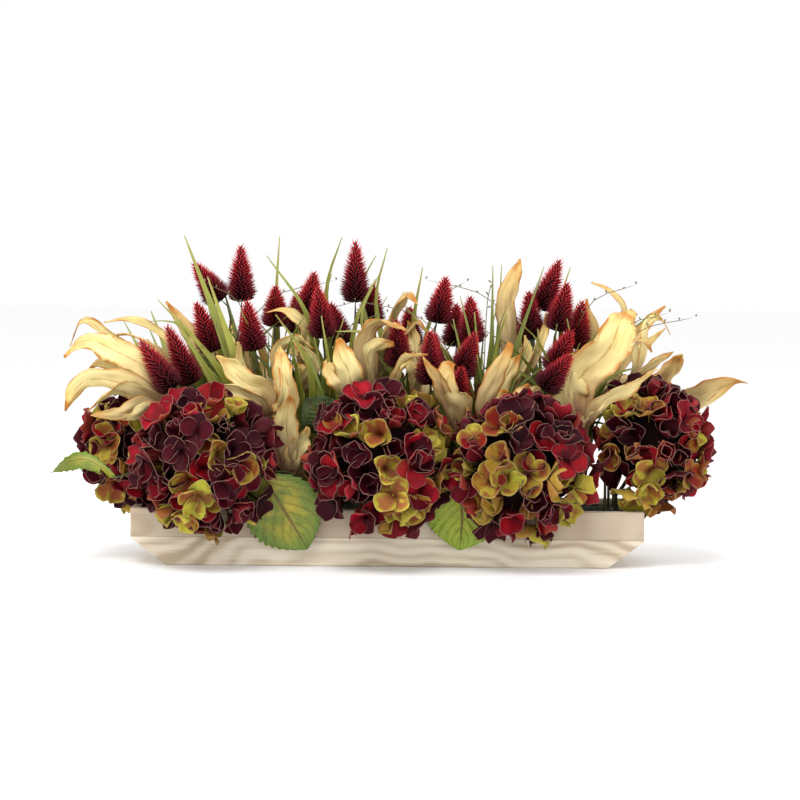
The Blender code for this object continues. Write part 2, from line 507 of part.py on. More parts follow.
def put(name, solid, colour):
    """A new object from points and triangles."""
    points, faces = solid
    mesh = bpy.data.meshes.new(name)
    mesh.from_pydata(np.asarray(points).tolist(), [], [tuple(map(int, face)) for face in faces])
    mesh.materials.append(material(colour))
    made = bpy.data.objects.new(name, mesh)
    bpy.context.scene.collection.objects.link(made)
    return made


def fuse(name, solids, colour):
    """One object from several overlapping solids, by a union that is applied.

    The manifold solver does in a second what takes the exact solver minutes for so many thin pieces.
    """
    whole = put(name, solids[0], colour)
    if len(solids) == 1:
        return whole
    rest = bpy.data.collections.new("joined to " + name)
    bpy.context.scene.collection.children.link(rest)
    for number, solid in enumerate(solids[1:]):
        piece = put(f"{name} piece {number}", solid, colour)
        bpy.context.scene.collection.objects.unlink(piece)
        rest.objects.link(piece)
    union = whole.modifiers.new("union", "BOOLEAN")
    union.operation = "UNION"
    union.operand_type = "COLLECTION"
    union.collection = rest
    union.solver = "MANIFOLD"
    apply_modifiers(whole)
    for piece in list(rest.objects):
        bpy.data.objects.remove(piece)
    bpy.data.collections.remove(rest)
    return whole


def apply_modifiers(thing):
    """Replace an object's mesh by what its modifiers make of it."""
    seen = thing.evaluated_get(bpy.context.evaluated_depsgraph_get())
    mesh = bpy.data.meshes.new_from_object(seen)
    thing.modifiers.clear()
    thing.data = mesh


# ---------------------------------------------------------------- the box and its foam
def box_outline(inset, top):
    """Outline of the box in the XZ plane, its lower corners cut off, moved in by `inset`."""
    slope = math.hypot(CUT_LENGTH, CUT_HEIGHT)
    end = BOX_LENGTH / 2
    # where the inset slant meets the inset bottom and the inset end
    low_x = end - CUT_LENGTH - inset * (slope - CUT_LENGTH) / CUT_HEIGHT
    high_z = CUT_HEIGHT + inset * (slope - CUT_HEIGHT) / CUT_LENGTH
    right = [(low_x, inset), (end - inset, high_z), (end - inset, top)]
    return right + [(-x, z) for x, z in reversed(right)]


def prism(outline, front, back):
    """Closed solid from an outline in the XZ plane, listed the right way round, between two depths."""
    count = len(outline)
    points = [(x, front, z) for x, z in outline] + [(x, back, z) for x, z in outline]
    rim = [(i, i + count, (i + 1) % count + count, (i + 1) % count) for i in range(count)]
    return points, [tuple(range(count)), *rim, tuple(reversed(range(count, 2 * count)))]


def put_board(name, outline, front, back, edge=None):
    """One board, with its edges rounded over by a bevel if `edge` is given."""
    points, faces = prism(outline, front, back)
    mesh = bpy.data.meshes.new(name)
    mesh.from_pydata(points, [], faces)
    mesh.materials.append(material("wood"))
    board = bpy.data.objects.new(name, mesh)
    bpy.context.scene.collection.objects.link(board)
    if edge:
        bevel = board.modifiers.new("edges", "BEVEL")
        bevel.width = edge
        bevel.segments = 1
        bevel.limit_method = "NONE"


def mirrored(outline):
    return [(-x, z) for x, z in reversed(outline)]


def box():
    """Two long boards with the ends, the slants and the bottom between them."""
    face = BOX_DEPTH / 2
    inner = face - BOARD - GAP
    outside = box_outline(0.0, BOX_HEIGHT)
    inside = box_outline(BOARD, BOX_HEIGHT)
    put_board("box_front", outside, -face, -face + BOARD, BOARD_EDGE)
    put_board("box_back", outside, face - BOARD, face, BOARD_EDGE)
    end = shrink([outside[1], outside[2], inside[2], inside[1]])
    slant = shrink([outside[0], outside[1], inside[1], inside[0]])
    put_board("box_right_end", end, -inner, inner)
    put_board("box_right_slant", slant, -inner, inner)
    put_board("box_left_end", mirrored(end), -inner, inner)
    put_board("box_left_slant", mirrored(slant), -inner, inner)
    bottom = shrink([outside[5], outside[0], inside[0], inside[5]])
    put_board("box_bottom", [(x, z - GAP / 2) for x, z in bottom], -inner, inner)


def shrink(outline):
    """Move each corner of a convex outline inwards, so that the board clears its neighbours."""
    points = np.array(outline)
    ahead = np.roll(points, -1, axis=0) - points
    inward = unit(np.column_stack([-ahead[:, 1], ahead[:, 0]]))
    before = np.roll(inward, 1, axis=0)
    lean = 1 + (inward * before).sum(axis=1)
    moved = points + (inward + before) * (GAP / 2 / lean)[:, None]
    return [tuple(point) for point in moved]


def foam(roots):
    """The block of foam that fills the box, with a blind hole under every stem."""
    outline = box_outline(BOARD + GAP, FOAM_TOP)
    inner = BOX_DEPTH / 2 - BOARD - GAP
    block = put("foam", prism(outline, -inner, inner), "foam")
    points, faces = [], []
    for x, y in roots:
        line = np.array([(x, y, HOLE_BOTTOM), (x, y, BOX_HEIGHT)])
        rings = bar(line, STEM_RADIUS + 2 * GAP, STEM_SIDES)
        hole = [(2, 1, 0), (3, 4, 5), (0, 1, 4, 3), (1, 2, 5, 4), (2, 0, 3, 5)]
        faces += [tuple(len(points) + corner for corner in side) for side in hole]
        points += rings.reshape(-1, 3).tolist()
    holes = bpy.data.meshes.new("stem holes")
    holes.from_pydata(points, [], faces)
    cutter = bpy.data.objects.new("stem holes", holes)
    bpy.context.scene.collection.objects.link(cutter)
    cut = block.modifiers.new("holes", "BOOLEAN")
    cut.operation = "DIFFERENCE"
    cut.object = cutter
    apply_modifiers(block)
    bpy.data.objects.remove(cutter)


# ---------------------------------------------------------------- flowers and leaves
def head_directions(facing, count, spread):
    """Evenly spread directions round `facing`, on a golden-angle spiral out to `spread` degrees."""
    facing = unit(np.array(facing, float))
    across = unit(np.cross(facing, (0.0, 0.0, 1.0)))
    up = np.cross(across, facing)
    number = np.arange(count) + 0.5
    height = 1 - number / count * (1 - math.cos(math.radians(spread)))
    turn = number * math.radians(137.508)
    ring = np.sqrt(1 - height ** 2)
    return (height[:, None] * facing + (ring * np.cos(turn))[:, None] * across
            + (ring * np.sin(turn))[:, None] * up)


def floret_outline(centre, normal, radius, spin):
    """Twelve points round a floret of four petals: per petal two broad corners and a notch."""
    side = unit(np.cross(normal, (0.31, 0.17, 0.94)))
    other = np.cross(normal, side)
    angle = spin + np.radians([-29, 29, 45, 61, 119, 135, 151, 209, 225, 241, 299, 315])
    notch = np.tile([0, 0, 1], 4).astype(bool)
    reach = radius * np.where(notch, 0.50, 1.0)
    lift = radius * np.where(notch, 0.05, 0.24)
    return (centre + reach[:, None] * (np.cos(angle)[:, None] * side + np.sin(angle)[:, None] * other)
            + lift[:, None] * normal)


def floret(outline, centre, normal, root):
    """A floret: a thin plate of four cupped petals, on a stalk that narrows down to `root`."""
    half = normal * BLADE / 2
    top, under = outline + half, outline - half
    corners = outline[[2, 5, 8, 11]] - centre
    neck = centre - half * 2 + corners / np.linalg.norm(corners, axis=1, keepdims=True) * FLORET_STALK
    points = np.vstack([top, under, [centre + half], neck, [root]])
    ring = np.arange(12)
    after = (ring + 1) % 12
    faces = [np.column_stack([ring, after, np.full(12, 24)]),
             np.column_stack([ring, ring + 12, after + 12]),
             np.column_stack([ring, after + 12, after])]
    for petal in range(4):
        # under each petal: its notch, two corners and next notch, two corners of the stalk, the root
        a, b, c, d = 12 + (3 * petal - 1) % 12, 12 + 3 * petal, 13 + 3 * petal, 14 + 3 * petal
        low, high = 25 + (petal + 3) % 4, 25 + petal
        faces.append([(a, low, b), (b, low, high), (b, high, c), (c, high, d), (low, 29, high)])
    return points, np.vstack(faces)


def head_stem(root, centre):
    """Middle line of a head's stem: straight up out of the foam, then across to the head's core."""
    foot, knee = np.array((*root, HOLE_BOTTOM + GAP)), np.array((*root, BOX_HEIGHT + 0.006))
    end = centre - (centre - knee) * 0.3
    line = smooth_path([foot, (*root, FOAM_TOP - 0.008), knee, end], 9)
    line[:5, :2] = root
    return line


def hydrangea(space, roots, name, number):
    """A head: an oval core with florets on stalks all round its front."""
    root, centre, radii, facing = HEADS[name]
    roots.append(root)
    centre, radii = np.array(centre), np.array(radii)
    stem = head_stem(root, centre)
    solids = [oval(centre, radii * CORE_SHARE), loft(bar(stem, STEM_RADIUS, STEM_SIDES))]
    own, plates = Space(FINE_CELL), []
    draw = np.random.default_rng(number)
    for direction in head_directions(facing, FLORETS, HEAD_SPREAD):
        for attempt in range(TRIES):
            aim = unit(direction + draw.normal(size=3) * TWIST * attempt)
            normal = unit(aim / radii)
            place, inner = centre + aim * (radii - PETAL_DEPTH), centre + aim * radii * CORE_SHARE / 2
            size = FLORET_RADIUS * (1 - 0.25 * attempt / TRIES)
            outline = floret_outline(place, normal, size, draw.uniform(0, math.pi / 2))
            plate = fill_in(np.stack([np.tile(place, (13, 1)), np.vstack([outline, outline[:1]])]))
            points = np.vstack([fill_in(np.stack([inner, place])[None]), plate])
            if space.is_free(points) and own.is_free(points):
                solids.append(floret(outline, place, normal, inner))
                plates.append(plate)
                own.take(plate)
                break
    core = head_directions(facing, 1600, 180) * radii * CORE_SHARE + centre
    space.take(np.vstack([core, fill_in(stem[:, None]), *plates]))
    fuse(name, solids, "hydrangea")
    return f"{len(plates)} of {FLORETS} florets"


def spike(base, tip, radius):
    """Rings of a foxtail: every other point of a ring is a bristle tip, pushed out and up."""
    s = np.array(SPIKE_RINGS)
    along = unit(tip - base)
    side = unit(np.cross(along, (0.2, 1.0, 0.1)))
    other = np.cross(along, side)
    angle = 2 * np.pi * np.arange(SPIKE_SIDES) / SPIKE_SIDES
    bristle = (np.arange(SPIKE_SIDES)[None] + np.arange(len(s))[:, None]) % 2 == 0
    body = radius * (1 - s) ** 0.6 * np.minimum(1, 0.55 + 2.2 * s)
    reach = body[:, None] * np.where(bristle, 1.0, 0.58)
    length = np.linalg.norm(tip - base)
    height = s[:, None] * length + np.where(bristle, 0.07 * length, 0.0)
    return (base + height[..., None] * along
            + reach[..., None] * (np.cos(angle)[None, :, None] * side + np.sin(angle)[None, :, None] * other))


def foxtails(space, roots, name, number):
    """A spray: foxtails on thin stalks that part a little above the foam."""
    root, spikes = FOXTAILS[name]
    root = clear_root(space, roots, root, SPRAY_KNOT)
    joint = np.array((*root, SPRAY_KNOT))
    solids = [wire(root, SPRAY_KNOT + 0.002)]
    own, taken = Space(FINE_CELL), [wire_points(joint)]
    for index, (tip, lean, length) in enumerate(spikes):
        def make(sway, share):
            turn = math.radians(lean)
            along = unit(np.array((math.sin(turn), SPIKE_LEAN * sway[1], math.cos(turn))))
            top = np.array(tip) + sway
            base = top - along * length * share
            halfway = 0.5 * (joint + base) - 0.1 * (base - joint) * (1, 1, -1)
            stalk = smooth_path([joint, halfway, base - along * 0.02, base + along * 0.008], STALK_STEPS)
            rings = spike(base, top, SPIKE_RADIUS * share)
            closed = np.concatenate([rings, rings[:, :1]], axis=1)
            return [stalk[:, None], closed], (stalk, rings, base, top)
        made = bend_clear(space, own, number * 100 + index, make)
        if made:
            points, (stalk, rings, base, top) = made
            solids += [loft(bar(stalk, THIN_RADIUS, STEM_SIDES)), loft(rings, base, top)]
            taken.append(points)
    space.take(np.vstack(taken))
    fuse(name, solids, "foxtail")
    return f"{len(taken) - 1} of {len(spikes)} foxtails"


def wire_points(joint):
    """Points on the straight wire stem below a knot, and on the knot."""
    foot = np.array((joint[0], joint[1], BOX_HEIGHT))
    stem = bar(np.array([foot, joint]), STEM_RADIUS, STEM_SIDES)
    return np.vstack([fill_in(stem), knot(joint, KNOT_RADIUS)[0]])


def bent_line(joint, points, sway, share):
    """A piece's middle line from the knot, made smaller by `share` and bent by `sway` towards its tip."""
    line = joint + (np.array(points) - joint) * share
    line = line + sway * np.linspace(0.4, 1, len(line))[:, None]
    start = joint + unit(line[0] - joint) * KNOT_RADIUS * 0.3
    return [start, *line]


def husks(space, roots, name, number):
    """A cluster of husk leaves that part at a knot on top of their wire stem."""
    behind = -1 if name in HUSKS_BEHIND else 1
    root, height, leaves = HUSKS[HUSKS_BEHIND.get(name, name)]
    root = clear_root(space, roots, (root[0], root[1] * behind), height)
    joint = np.array((*root, height))
    solids = [wire(root, height), knot(joint, KNOT_RADIUS)]
    own, taken = Space(FINE_CELL), [wire_points(joint)]
    for index, (width, roll, points) in enumerate(leaves):
        def make(sway, share):
            line = bent_line(joint, np.array(points) * (1, behind, 1), sway, share)
            steps = max(4, len(points) + 1)
            grid, face = ribbon(line, width * share, roll * behind, husk_width, steps)
            return [grid[:3], grid[2:]], (grid, face)
        made = bend_clear(space, own, number * 100 + index, make)
        if made:
            solids.append(slab(*made[1]))
            taken.append(made[0])
    space.take(np.vstack(taken))
    fuse(name, solids, "husk")
    return f"{len(taken) - 1} of {len(leaves)} leaves"


def grass(space, roots, name, number):
    """A tuft: folded blades of grass that part at a knot a little above the foam."""
    root, blades = GRASS[name]
    root = clear_root(space, roots, root, TUFT_KNOT)
    joint = np.array((*root, TUFT_KNOT))
    solids = [wire(root, TUFT_KNOT), knot(joint, KNOT_RADIUS)]
    own, taken = Space(FINE_CELL), [wire_points(joint)]
    for index, (width, points) in enumerate(blades):
        def make(sway, share):
            line = bent_line(joint, points, sway, share)
            grid, face = ribbon(line, width, GRASS_ROLL, grass_width, GRASS_STEPS)
            return [grid[:3], grid[2:]], (grid, face)
        made = bend_clear(space, own, number * 100 + index, make)
        if made:
            grid, face = made[1]
            keel = grid.mean(axis=1) - face * GRASS_KEEL
            solids.append(loft(np.stack([grid[:, 1], keel, grid[:, 0]], axis=1)))
            taken.append(made[0])
    space.take(np.vstack(taken))
    fuse(name, solids, "grass")
    return f"{len(taken) - 1} of {len(blades)} blades"


def toothed_width(t):
    """Width of a hydrangea leaf along its midrib, with a saw-toothed edge."""
    tooth = np.where(np.arange(len(t)) % 2 == 1, 1.07, 0.93)
    return np.sin(np.pi * np.clip(t, 0, 1) ** 0.8) ** 0.8 * tooth + 0.03


def green_leaf(space, roots, name, number):
    """One green leaf, hollow along its midrib, on a stalk from the top of its wire stem."""
    root, height, width, roll, points = LEAVES[name]
    root = clear_root(space, roots, root, height)
    joint = np.array((*root, height))

    def make(sway, share):
        line = np.array(points) + sway * (1, 0.3, 1)
        grid, face = ribbon(line, width * share, roll, toothed_width, LEAF_STEPS, columns=3)
        hollow = LEAF_HOLLOW * width * np.sin(np.pi * np.linspace(0, 1, LEAF_STEPS + 1))
        grid[:, 1] -= face * hollow[:, None]
        halfway = 0.5 * (joint + line[0]) + (0, 0, 0.012)
        stalk = smooth_path([joint, halfway, line[0], line[0] + 0.15 * (line[1] - line[0])], STALK_STEPS)
        return [stalk[:, None], grid], (stalk, grid, face)

    made = bend_clear(space, Space(), number, make)
    if made is None:
        return "left out"
    points, (stalk, grid, face) = made
    space.take(np.vstack([points, wire_points(joint)]))
    stem = wire(root, height + 0.001)
    fuse(name, [stem, loft(bar(stalk, THIN_RADIUS, STEM_SIDES)), slab(grid, face)], "leaf")
    return "in place"


def build():
    for thing in list(bpy.data.objects):
        bpy.data.objects.remove(thing)
    box()
    space = Space()
    space.take_block((-BOX_LENGTH / 2, -BOX_DEPTH / 2, 0), (BOX_LENGTH / 2, BOX_DEPTH / 2, BOX_HEIGHT))
    roots = []
    number = 0
    for names, grow in ((LEAVES, green_leaf), (HEADS, hydrangea), (FOXTAILS, foxtails),
                        ([*HUSKS, *HUSKS_BEHIND], husks), (GRASS, grass)):
        for name in names:
            number += 1
            print(name, grow(space, roots, name, number))
    foam(roots)


build()
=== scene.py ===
# %% [markdown]
# # A long flower centerpiece in a wooden box
#
# The real object is a low trough of pale wood, about three quarters of a metre long with its flowers.
# Big hydrangea heads hang over its front and back edges. Foxtail grass, blades of green grass and
# curled, dry husk leaves stand up between them. Everything grows on wire stems that are pushed into
# a block of foam. The plain solids of all that are loaded first, and each cell below dresses one kind
# of piece: it works out a fine surface in numpy and gives it a finish made of shader nodes.

# %% Load the plain solids
import math

import bpy
import numpy as np
from mathutils import Matrix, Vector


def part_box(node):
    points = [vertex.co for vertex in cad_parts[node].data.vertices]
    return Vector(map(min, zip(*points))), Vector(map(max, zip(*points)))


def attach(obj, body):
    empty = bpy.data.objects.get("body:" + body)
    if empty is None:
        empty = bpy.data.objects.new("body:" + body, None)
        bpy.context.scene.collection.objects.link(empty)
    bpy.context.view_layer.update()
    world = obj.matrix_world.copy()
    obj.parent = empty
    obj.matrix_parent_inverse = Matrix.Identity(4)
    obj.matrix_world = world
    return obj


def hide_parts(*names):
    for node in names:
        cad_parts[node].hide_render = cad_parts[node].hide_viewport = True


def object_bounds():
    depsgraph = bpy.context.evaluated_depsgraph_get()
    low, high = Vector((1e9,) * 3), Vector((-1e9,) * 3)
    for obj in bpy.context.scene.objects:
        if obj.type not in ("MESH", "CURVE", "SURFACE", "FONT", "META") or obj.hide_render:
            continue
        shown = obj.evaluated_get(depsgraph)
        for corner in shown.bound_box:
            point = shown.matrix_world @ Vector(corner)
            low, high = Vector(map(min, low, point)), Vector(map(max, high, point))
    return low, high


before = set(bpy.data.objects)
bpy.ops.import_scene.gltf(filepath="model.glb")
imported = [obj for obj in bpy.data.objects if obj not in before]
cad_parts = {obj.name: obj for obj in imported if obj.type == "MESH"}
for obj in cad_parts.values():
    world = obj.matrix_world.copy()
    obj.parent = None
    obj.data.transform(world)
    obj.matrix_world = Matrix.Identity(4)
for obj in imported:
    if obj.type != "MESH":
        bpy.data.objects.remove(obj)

plain_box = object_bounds()
print("solids:", len(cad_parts), "box:", [round(value, 3) for corner in plain_box for value in corner])

# %% [markdown]
# ## Camera, floor and light
#
# A centerpiece is looked at from a little above the table. A long lens keeps the box's edges parallel.
# The floor is plain and pale, and large soft lights stand over and in front of the flowers, so that
# the gaps between petals stay dark and their faces do not shine.

# %% Camera
def new_object(name, data):
    """An object in the scene."""
    made = bpy.data.objects.new(name, data)
    bpy.context.scene.collection.objects.link(made)
    return made


CAMERA_PLACE = np.array((0.0125, -2.4, 0.33))
CAMERA_AIM = np.array((0.0125, 0.0, 0.1745))
CAMERA_ROLL = math.radians(0.5)
LENS = 98.6                      # millimetres on a sensor 36 mm wide


def look_at(thing, place, aim, roll=0.0):
    """Turn a camera or a light so that its -Z axis points from `place` at `aim`, then roll it."""
    back = np.asarray(place, float) - np.asarray(aim, float)
    back /= np.linalg.norm(back)
    right = np.cross((0.0, 0.0, 1.0), back)
    right /= np.linalg.norm(right)
    up = np.cross(back, right)
    turned = right * math.cos(roll) + up * math.sin(roll)
    axes = np.eye(4)
    axes[:3, 0], axes[:3, 1], axes[:3, 2], axes[:3, 3] = turned, np.cross(back, turned), back, place
    thing.matrix_world = Matrix(axes.tolist())


camera = new_object("camera", bpy.data.cameras.new("camera"))
camera.data.lens = LENS
look_at(camera, CAMERA_PLACE, CAMERA_AIM, CAMERA_ROLL)
bpy.context.scene.camera = camera
print("camera at", CAMERA_PLACE)

# %% Light and floor
LIGHTS = {                       # place, width and height in metres, power in watts
    "light_above": ((-0.4, -1.0, 2.0), 1.2, 0.9, 26.0),
    "light_left": ((-1.9, -1.7, 1.1), 0.9, 1.1, 10.0),
    "light_right": ((2.1, -1.5, 0.9), 0.9, 1.1, 7.0),
    "light_behind": ((0.4, 2.0, 1.6), 1.8, 1.0, 10.0),
}
LIGHTS_AIM = (0.0, 0.0, 0.12)
for name, (place, width, height, power) in LIGHTS.items():
    lamp = bpy.data.lights.new(name, "AREA")
    lamp.shape, lamp.size, lamp.size_y, lamp.energy = "RECTANGLE", width, height, power
    look_at(new_object(name, lamp), place, LIGHTS_AIM)

world = bpy.data.worlds.new("studio")
world.use_nodes = True
background = world.node_tree.nodes["Background"].inputs
background["Color"].default_value = (1.0, 1.0, 1.0, 1.0)
background["Strength"].default_value = 1.0
bpy.context.scene.world = world
bpy.context.scene.view_settings.view_transform = "Standard"     # keeps the reds and yellows strong

FLOOR_HALF, FLOOR_GAP = 12.0, 0.0002
CORNERS = ((-1, -1), (1, -1), (1, 1), (-1, 1))
floor_mesh = bpy.data.meshes.new("floor")
floor_mesh.from_pydata([(FLOOR_HALF * x, FLOOR_HALF * y, 0) for x, y in CORNERS], [], [(0, 1, 2, 3)])
floor = new_object("floor", floor_mesh)
floor.location.z = plain_box[0].z - FLOOR_GAP
floor_paint = bpy.data.materials.new("floor paint")
floor_paint.use_nodes = True
floor_shader = floor_paint.node_tree.nodes["Principled BSDF"].inputs
floor_shader["Base Color"].default_value = (0.97, 0.97, 0.97, 1.0)
floor_shader["Roughness"].default_value = 0.9
floor_mesh.materials.append(floor_paint)
print("lights:", len(LIGHTS))
# %% [markdown]
# ## The arrangement
#
# A florist decides where each head and spray stands and which way it leans. Those choices are the
# tables below: X along the box, the front at -Y, Z up from the box's underside. They are the same
# choices that the plain solids were made from, so each fine piece grows in its solid's place. The
# tables are in millimetres, and angles in degrees. A line with a name gives the root of a stem, and
# each indented line below it gives one part.
#
# Stems and leaves may touch on the real thing, but they never pass through each other. A part that
# would have crossed one that stood already was pushed aside at random, further with each try, until
# it was clear, and it was made smaller after every 60 tries. The first number of each part is its
# number of tries. Its random draws are seeded, so the same number gives the same bend again.

# %% Reading the tables
MILLIMETRES = 1000.0
MIRROR = np.array((1.0, -1.0, 1.0))      # turns the front to the back
TRIES, SHARES = 60, (1.0, 0.85, 0.7)
PUSH = np.array((0.0004, 0.0010, 0.0004))


def read_table(text):
    """A dictionary from a table: for each name its first row of numbers, then a row for each part."""
    table = {}
    for line in text.strip().split("\n"):
        words = line.split()
        if not line.startswith(" "):
            name = words.pop(0)
            table[name] = []
        table[name].append(np.array(words, float))
    return table


def metres(numbers):
    return numbers / MILLIMETRES


def line_points(numbers):
    """The points of a middle line, in metres."""
    return metres(numbers).reshape(-1, 3)


def pushed(number, index, tries):
    """How far the part `index` of piece `number` was pushed aside, and the share of its size it kept."""
    smaller, attempt = divmod(int(tries), TRIES)
    draws = np.random.default_rng(number * 100 + index).normal(size=(int(tries) + 1, 3))
    return draws[-1] * PUSH * attempt, SHARES[smaller]


# %% Hydrangea heads
# root of the stem, centre of the head, its half sizes, and the way it faces, times a thousand
HEADS = {name: (metres(row[:2]), metres(row[2:5]), metres(row[5:8]), metres(row[8:]))
         for name, (row,) in read_table("""
hydrangea_1 -239.5 0  -275.5 0 118  60 60 64  -900 -250 350
hydrangea_2 -192.5 -45  -192.5 -90 112  73 62 78  0 -900 300
hydrangea_3 -7.5 -45  -7.5 -90 117  77 62 78  0 -900 300
hydrangea_4 142.5 -45  142.5 -90 112  76 62 78  0 -900 300
hydrangea_5 250 -10  282.5 -30 132  66 62 72  700 -600 350
""").items()}
for front, back in (("hydrangea_2", "hydrangea_6"), ("hydrangea_3", "hydrangea_7"),
                    ("hydrangea_4", "hydrangea_8")):
    root, centre, radii, facing = HEADS[front]
    HEADS[back] = (root * MIRROR[:2], centre * MIRROR, radii, facing * MIRROR)
print(len(HEADS), "heads")

# %% Foxtails
# root; for each foxtail its tries, its tip, its length and its lean from upright
FOXTAILS = {name: (metres(root), [(row[0], metres(row[1:4]), row[5], row[4] / MILLIMETRES) for row in rows])
            for name, (root, *rows) in read_table("""
foxtails_1 -182.5 15
  0 -217.5 20 325 54 -35
  0 -162.5 0 345 64 0
  0 -212.5 0 282 60 -20
foxtails_2 -192.5 -15
  0 -242.5 -20 257 72 -24
  25 -249.5 -55 237 68 -36
  0 -155.5 -15 285 58 -8
foxtails_3 -97.5 30
  0 -127.5 50 300 48 0
  0 -105.5 70 292 48 -6
  0 -82.5 20 316 52 10
foxtails_4 -42.5 -15
  0 -77.5 -20 300 58 -6
  0 -65.5 20 282 50 -14
  0 -37.5 0 351 70 0
foxtails_5 -2.5 15
  0 -17.5 30 302 48 6
  0 22.5 40 278 48 0
foxtails_6 17.5 -15
  0 7.5 -30 266 54 -4
  19 42.5 -55 236 62 0
  0 48.5 -10 252 56 -4
foxtails_7 67.5 15
  0 62.5 10 312 54 10
  0 88.5 5 291 54 -2
  0 74.5 45 282 50 0
foxtails_8 67.5 -15
  0 94.5 -30 252 54 20
  16 76.5 -35 214 52 6
  49 50.5 -75 190 46 8
foxtails_9 157.5 15
  0 134.5 50 276 50 -5
  0 152.5 10 297 56 -5
  0 188.5 25 332 62 20
foxtails_10 182.5 -15
  0 194.5 -10 307 56 12
  0 212.5 10 287 56 8
  0 198.5 -30 256 52 25
  0 196.5 -60 230 50 38
""").items()}
print(sum(len(spikes) for root, spikes in FOXTAILS.values()), "foxtails")

# %% Husk leaves
# root and height of the knot; for each leaf its tries, its width, its roll about its length (0 faces
# the front), and the points of its middle line past the knot
HUSKS = {name: (metres(first[:2]), first[2] / MILLIMETRES,
                [(row[0], row[1] / MILLIMETRES, row[2], line_points(row[3:])) for row in rows])
         for name, (first, *rows) in read_table("""
husks_1 -219.5 15 150
  26 11 40  -249.5 -15 205  -292.5 -25 225  -319.5 -30 236  -343.5 -30 246  -362.5 -35 220
  46 15 0  -262.5 -5 200  -299.5 -10 228  -322.5 -10 252
  9 18 20  -249.5 20 195  -275.5 22 212  -293.5 22 222
  3 13 50  -237.5 5 225  -262.5 5 247  -287.5 0 254  -307.5 0 247
husks_2 -219.5 -34 150
  11 26 30  -257.5 -40 205  -297.5 -45 224  -322.5 -50 230  -347.5 -50 216
  20 26 0  -257.5 -50 188  -285.5 -60 200  -309.5 -62 196  -327.5 -62 168
  21 16 0  -259.5 -45 172  -285.5 -55 164  -312.5 -60 167
  90 28 -20  -229.5 -36 196  -259.5 -36 212  -289.5 -38 217
husks_3 -157.5 15 160
  27 17 20  -202.5 15 205  -230.5 15 250  -252.5 15 277
  18 14 0  -192.5 20 210  -209.5 25 262
  16 16 -30  -142.5 -10 190  -147.5 -20 236
husks_4 -139.5 -24 140
  0 24 10  -133.5 -25 182  -154.5 -30 196  -189.5 -35 218
  0 18 0  -135.5 -38 172  -159.5 -45 186  -193.5 -50 192
  12 14 20  -152.5 -15 190  -173.5 -20 232
husks_5 -107.5 15 170
  2 19 30  -92.5 10 245  -112.5 5 265  -135.5 0 270
  3 17 40  -119.5 -5 210  -117.5 -10 234  -97.5 -12 246  -71.5 -15 238
  0 15 0  -82.5 -20 212  -102.5 -28 240
husks_6 -122.5 -15 130
  0 24 0  -109.5 -30 175  -113.5 -34 208  -119.5 -30 235
  0 11 30  -115.5 -50 175  -114.5 -56 212
  116 16 55  -147.5 -30 185  -154.5 -40 232  -142.5 -45 256  -127.5 -50 226  -118.5 -55 190
husks_7 -107.5 -45 90
  0 22 0  -105.5 -65 150  -103.5 -74 186
  22 17 40  -117.5 -75 125  -109.5 -85 166  -93.5 -98 116
  39 15 30  -99.5 -85 112  -87.5 -98 96  -75.5 -104 80
husks_8 -22.5 -15 165
  0 17 45  -9.5 -5 230  2.5 -5 278  18.5 -10 296  32.5 -15 280
  6 26 30  -21.5 -25 205  -23.5 -30 245  -7.5 -35 266  14.5 -40 270
  0 30 0  -41.5 -50 190  -43.5 -55 215  -58.5 -55 241
husks_9 32.5 -22 160
  27 14 30  9.5 -30 195  12.5 -42 215  20.5 -48 228  42.5 -50 236
  0 13 0  26.5 -40 195  26.5 -50 212  18.5 -52 230
  11 15 0  32.5 -10 215  33.5 12 272
husks_10 84.5 -45 125
  21 32 10  70.5 -62 168  60.5 -70 190  72.5 -68 212
  12 22 0  86.5 -52 150  78.5 -58 178
  105 15 0  68.5 -30 200  62.5 -20 256
husks_11 112.5 -45 125
  32 19 0  94.5 -55 168  98.5 -55 200  108.5 -55 231
  0 19 0  107.5 -45 172  124.5 -42 200  143.5 -40 226
  83 19 0  117.5 -60 168  140.5 -64 191  168.5 -64 211
  58 17 10  130.5 -72 160  160.5 -82 178  190.5 -82 194
husks_12 127.5 15 170
  0 21 0  131.5 20 240  130.5 22 290  138.5 20 331
  0 13 20  154.5 0 215  167.5 -5 245  168.5 -5 272
husks_13 207.5 15 150
  2 21 0  213.5 20 220  222.5 25 255  218.5 25 287
  0 11 45  238.5 10 215  255.5 5 268  240.5 0 290  218.5 0 296
husks_14 208.5 -45 140
  0 42 0  207.5 -40 198  229.5 -40 232  266.5 -35 276
  21 18 20  224.5 -60 178  258.5 -65 206  288.5 -65 232
husks_15 237.5 -15 160
  43 17 0  244.5 10 218  264.5 14 242  278.5 14 262
  176 20 10  262.5 -25 200  294.5 -30 222  318.5 -30 242
husks_16 244.5 18 165
  107 13 10  262.5 20 215  278.5 20 256
  5 10 40  274.5 5 220  278.5 5 260  292.5 5 266  303.5 0 248
husks_17 252.5 45 130
  0 27 0  287.5 50 175  306.5 35 205  323.5 25 233
  2 24 0  297.5 45 165  327.5 35 176  357.5 20 190  389.5 10 207
  0 16 20  302.5 55 150  327.5 55 160  357.5 45 176  389.5 35 193
""").items()}
# two clusters stand again behind, seen from the other side, and have tries of their own
for front, back, new_tries in (("husks_4", "husks_18", (29, 0, 42)),
                               ("husks_11", "husks_19", (116, 91, 92, 86))):
    root, height, leaves = HUSKS[front]
    HUSKS[back] = (root * MIRROR[:2], height,
                   [(tries, width, -roll, points * MIRROR)
                    for tries, (old_tries, width, roll, points) in zip(new_tries, leaves)])
print(sum(len(leaves) for root, height, leaves in HUSKS.values()), "husk leaves")

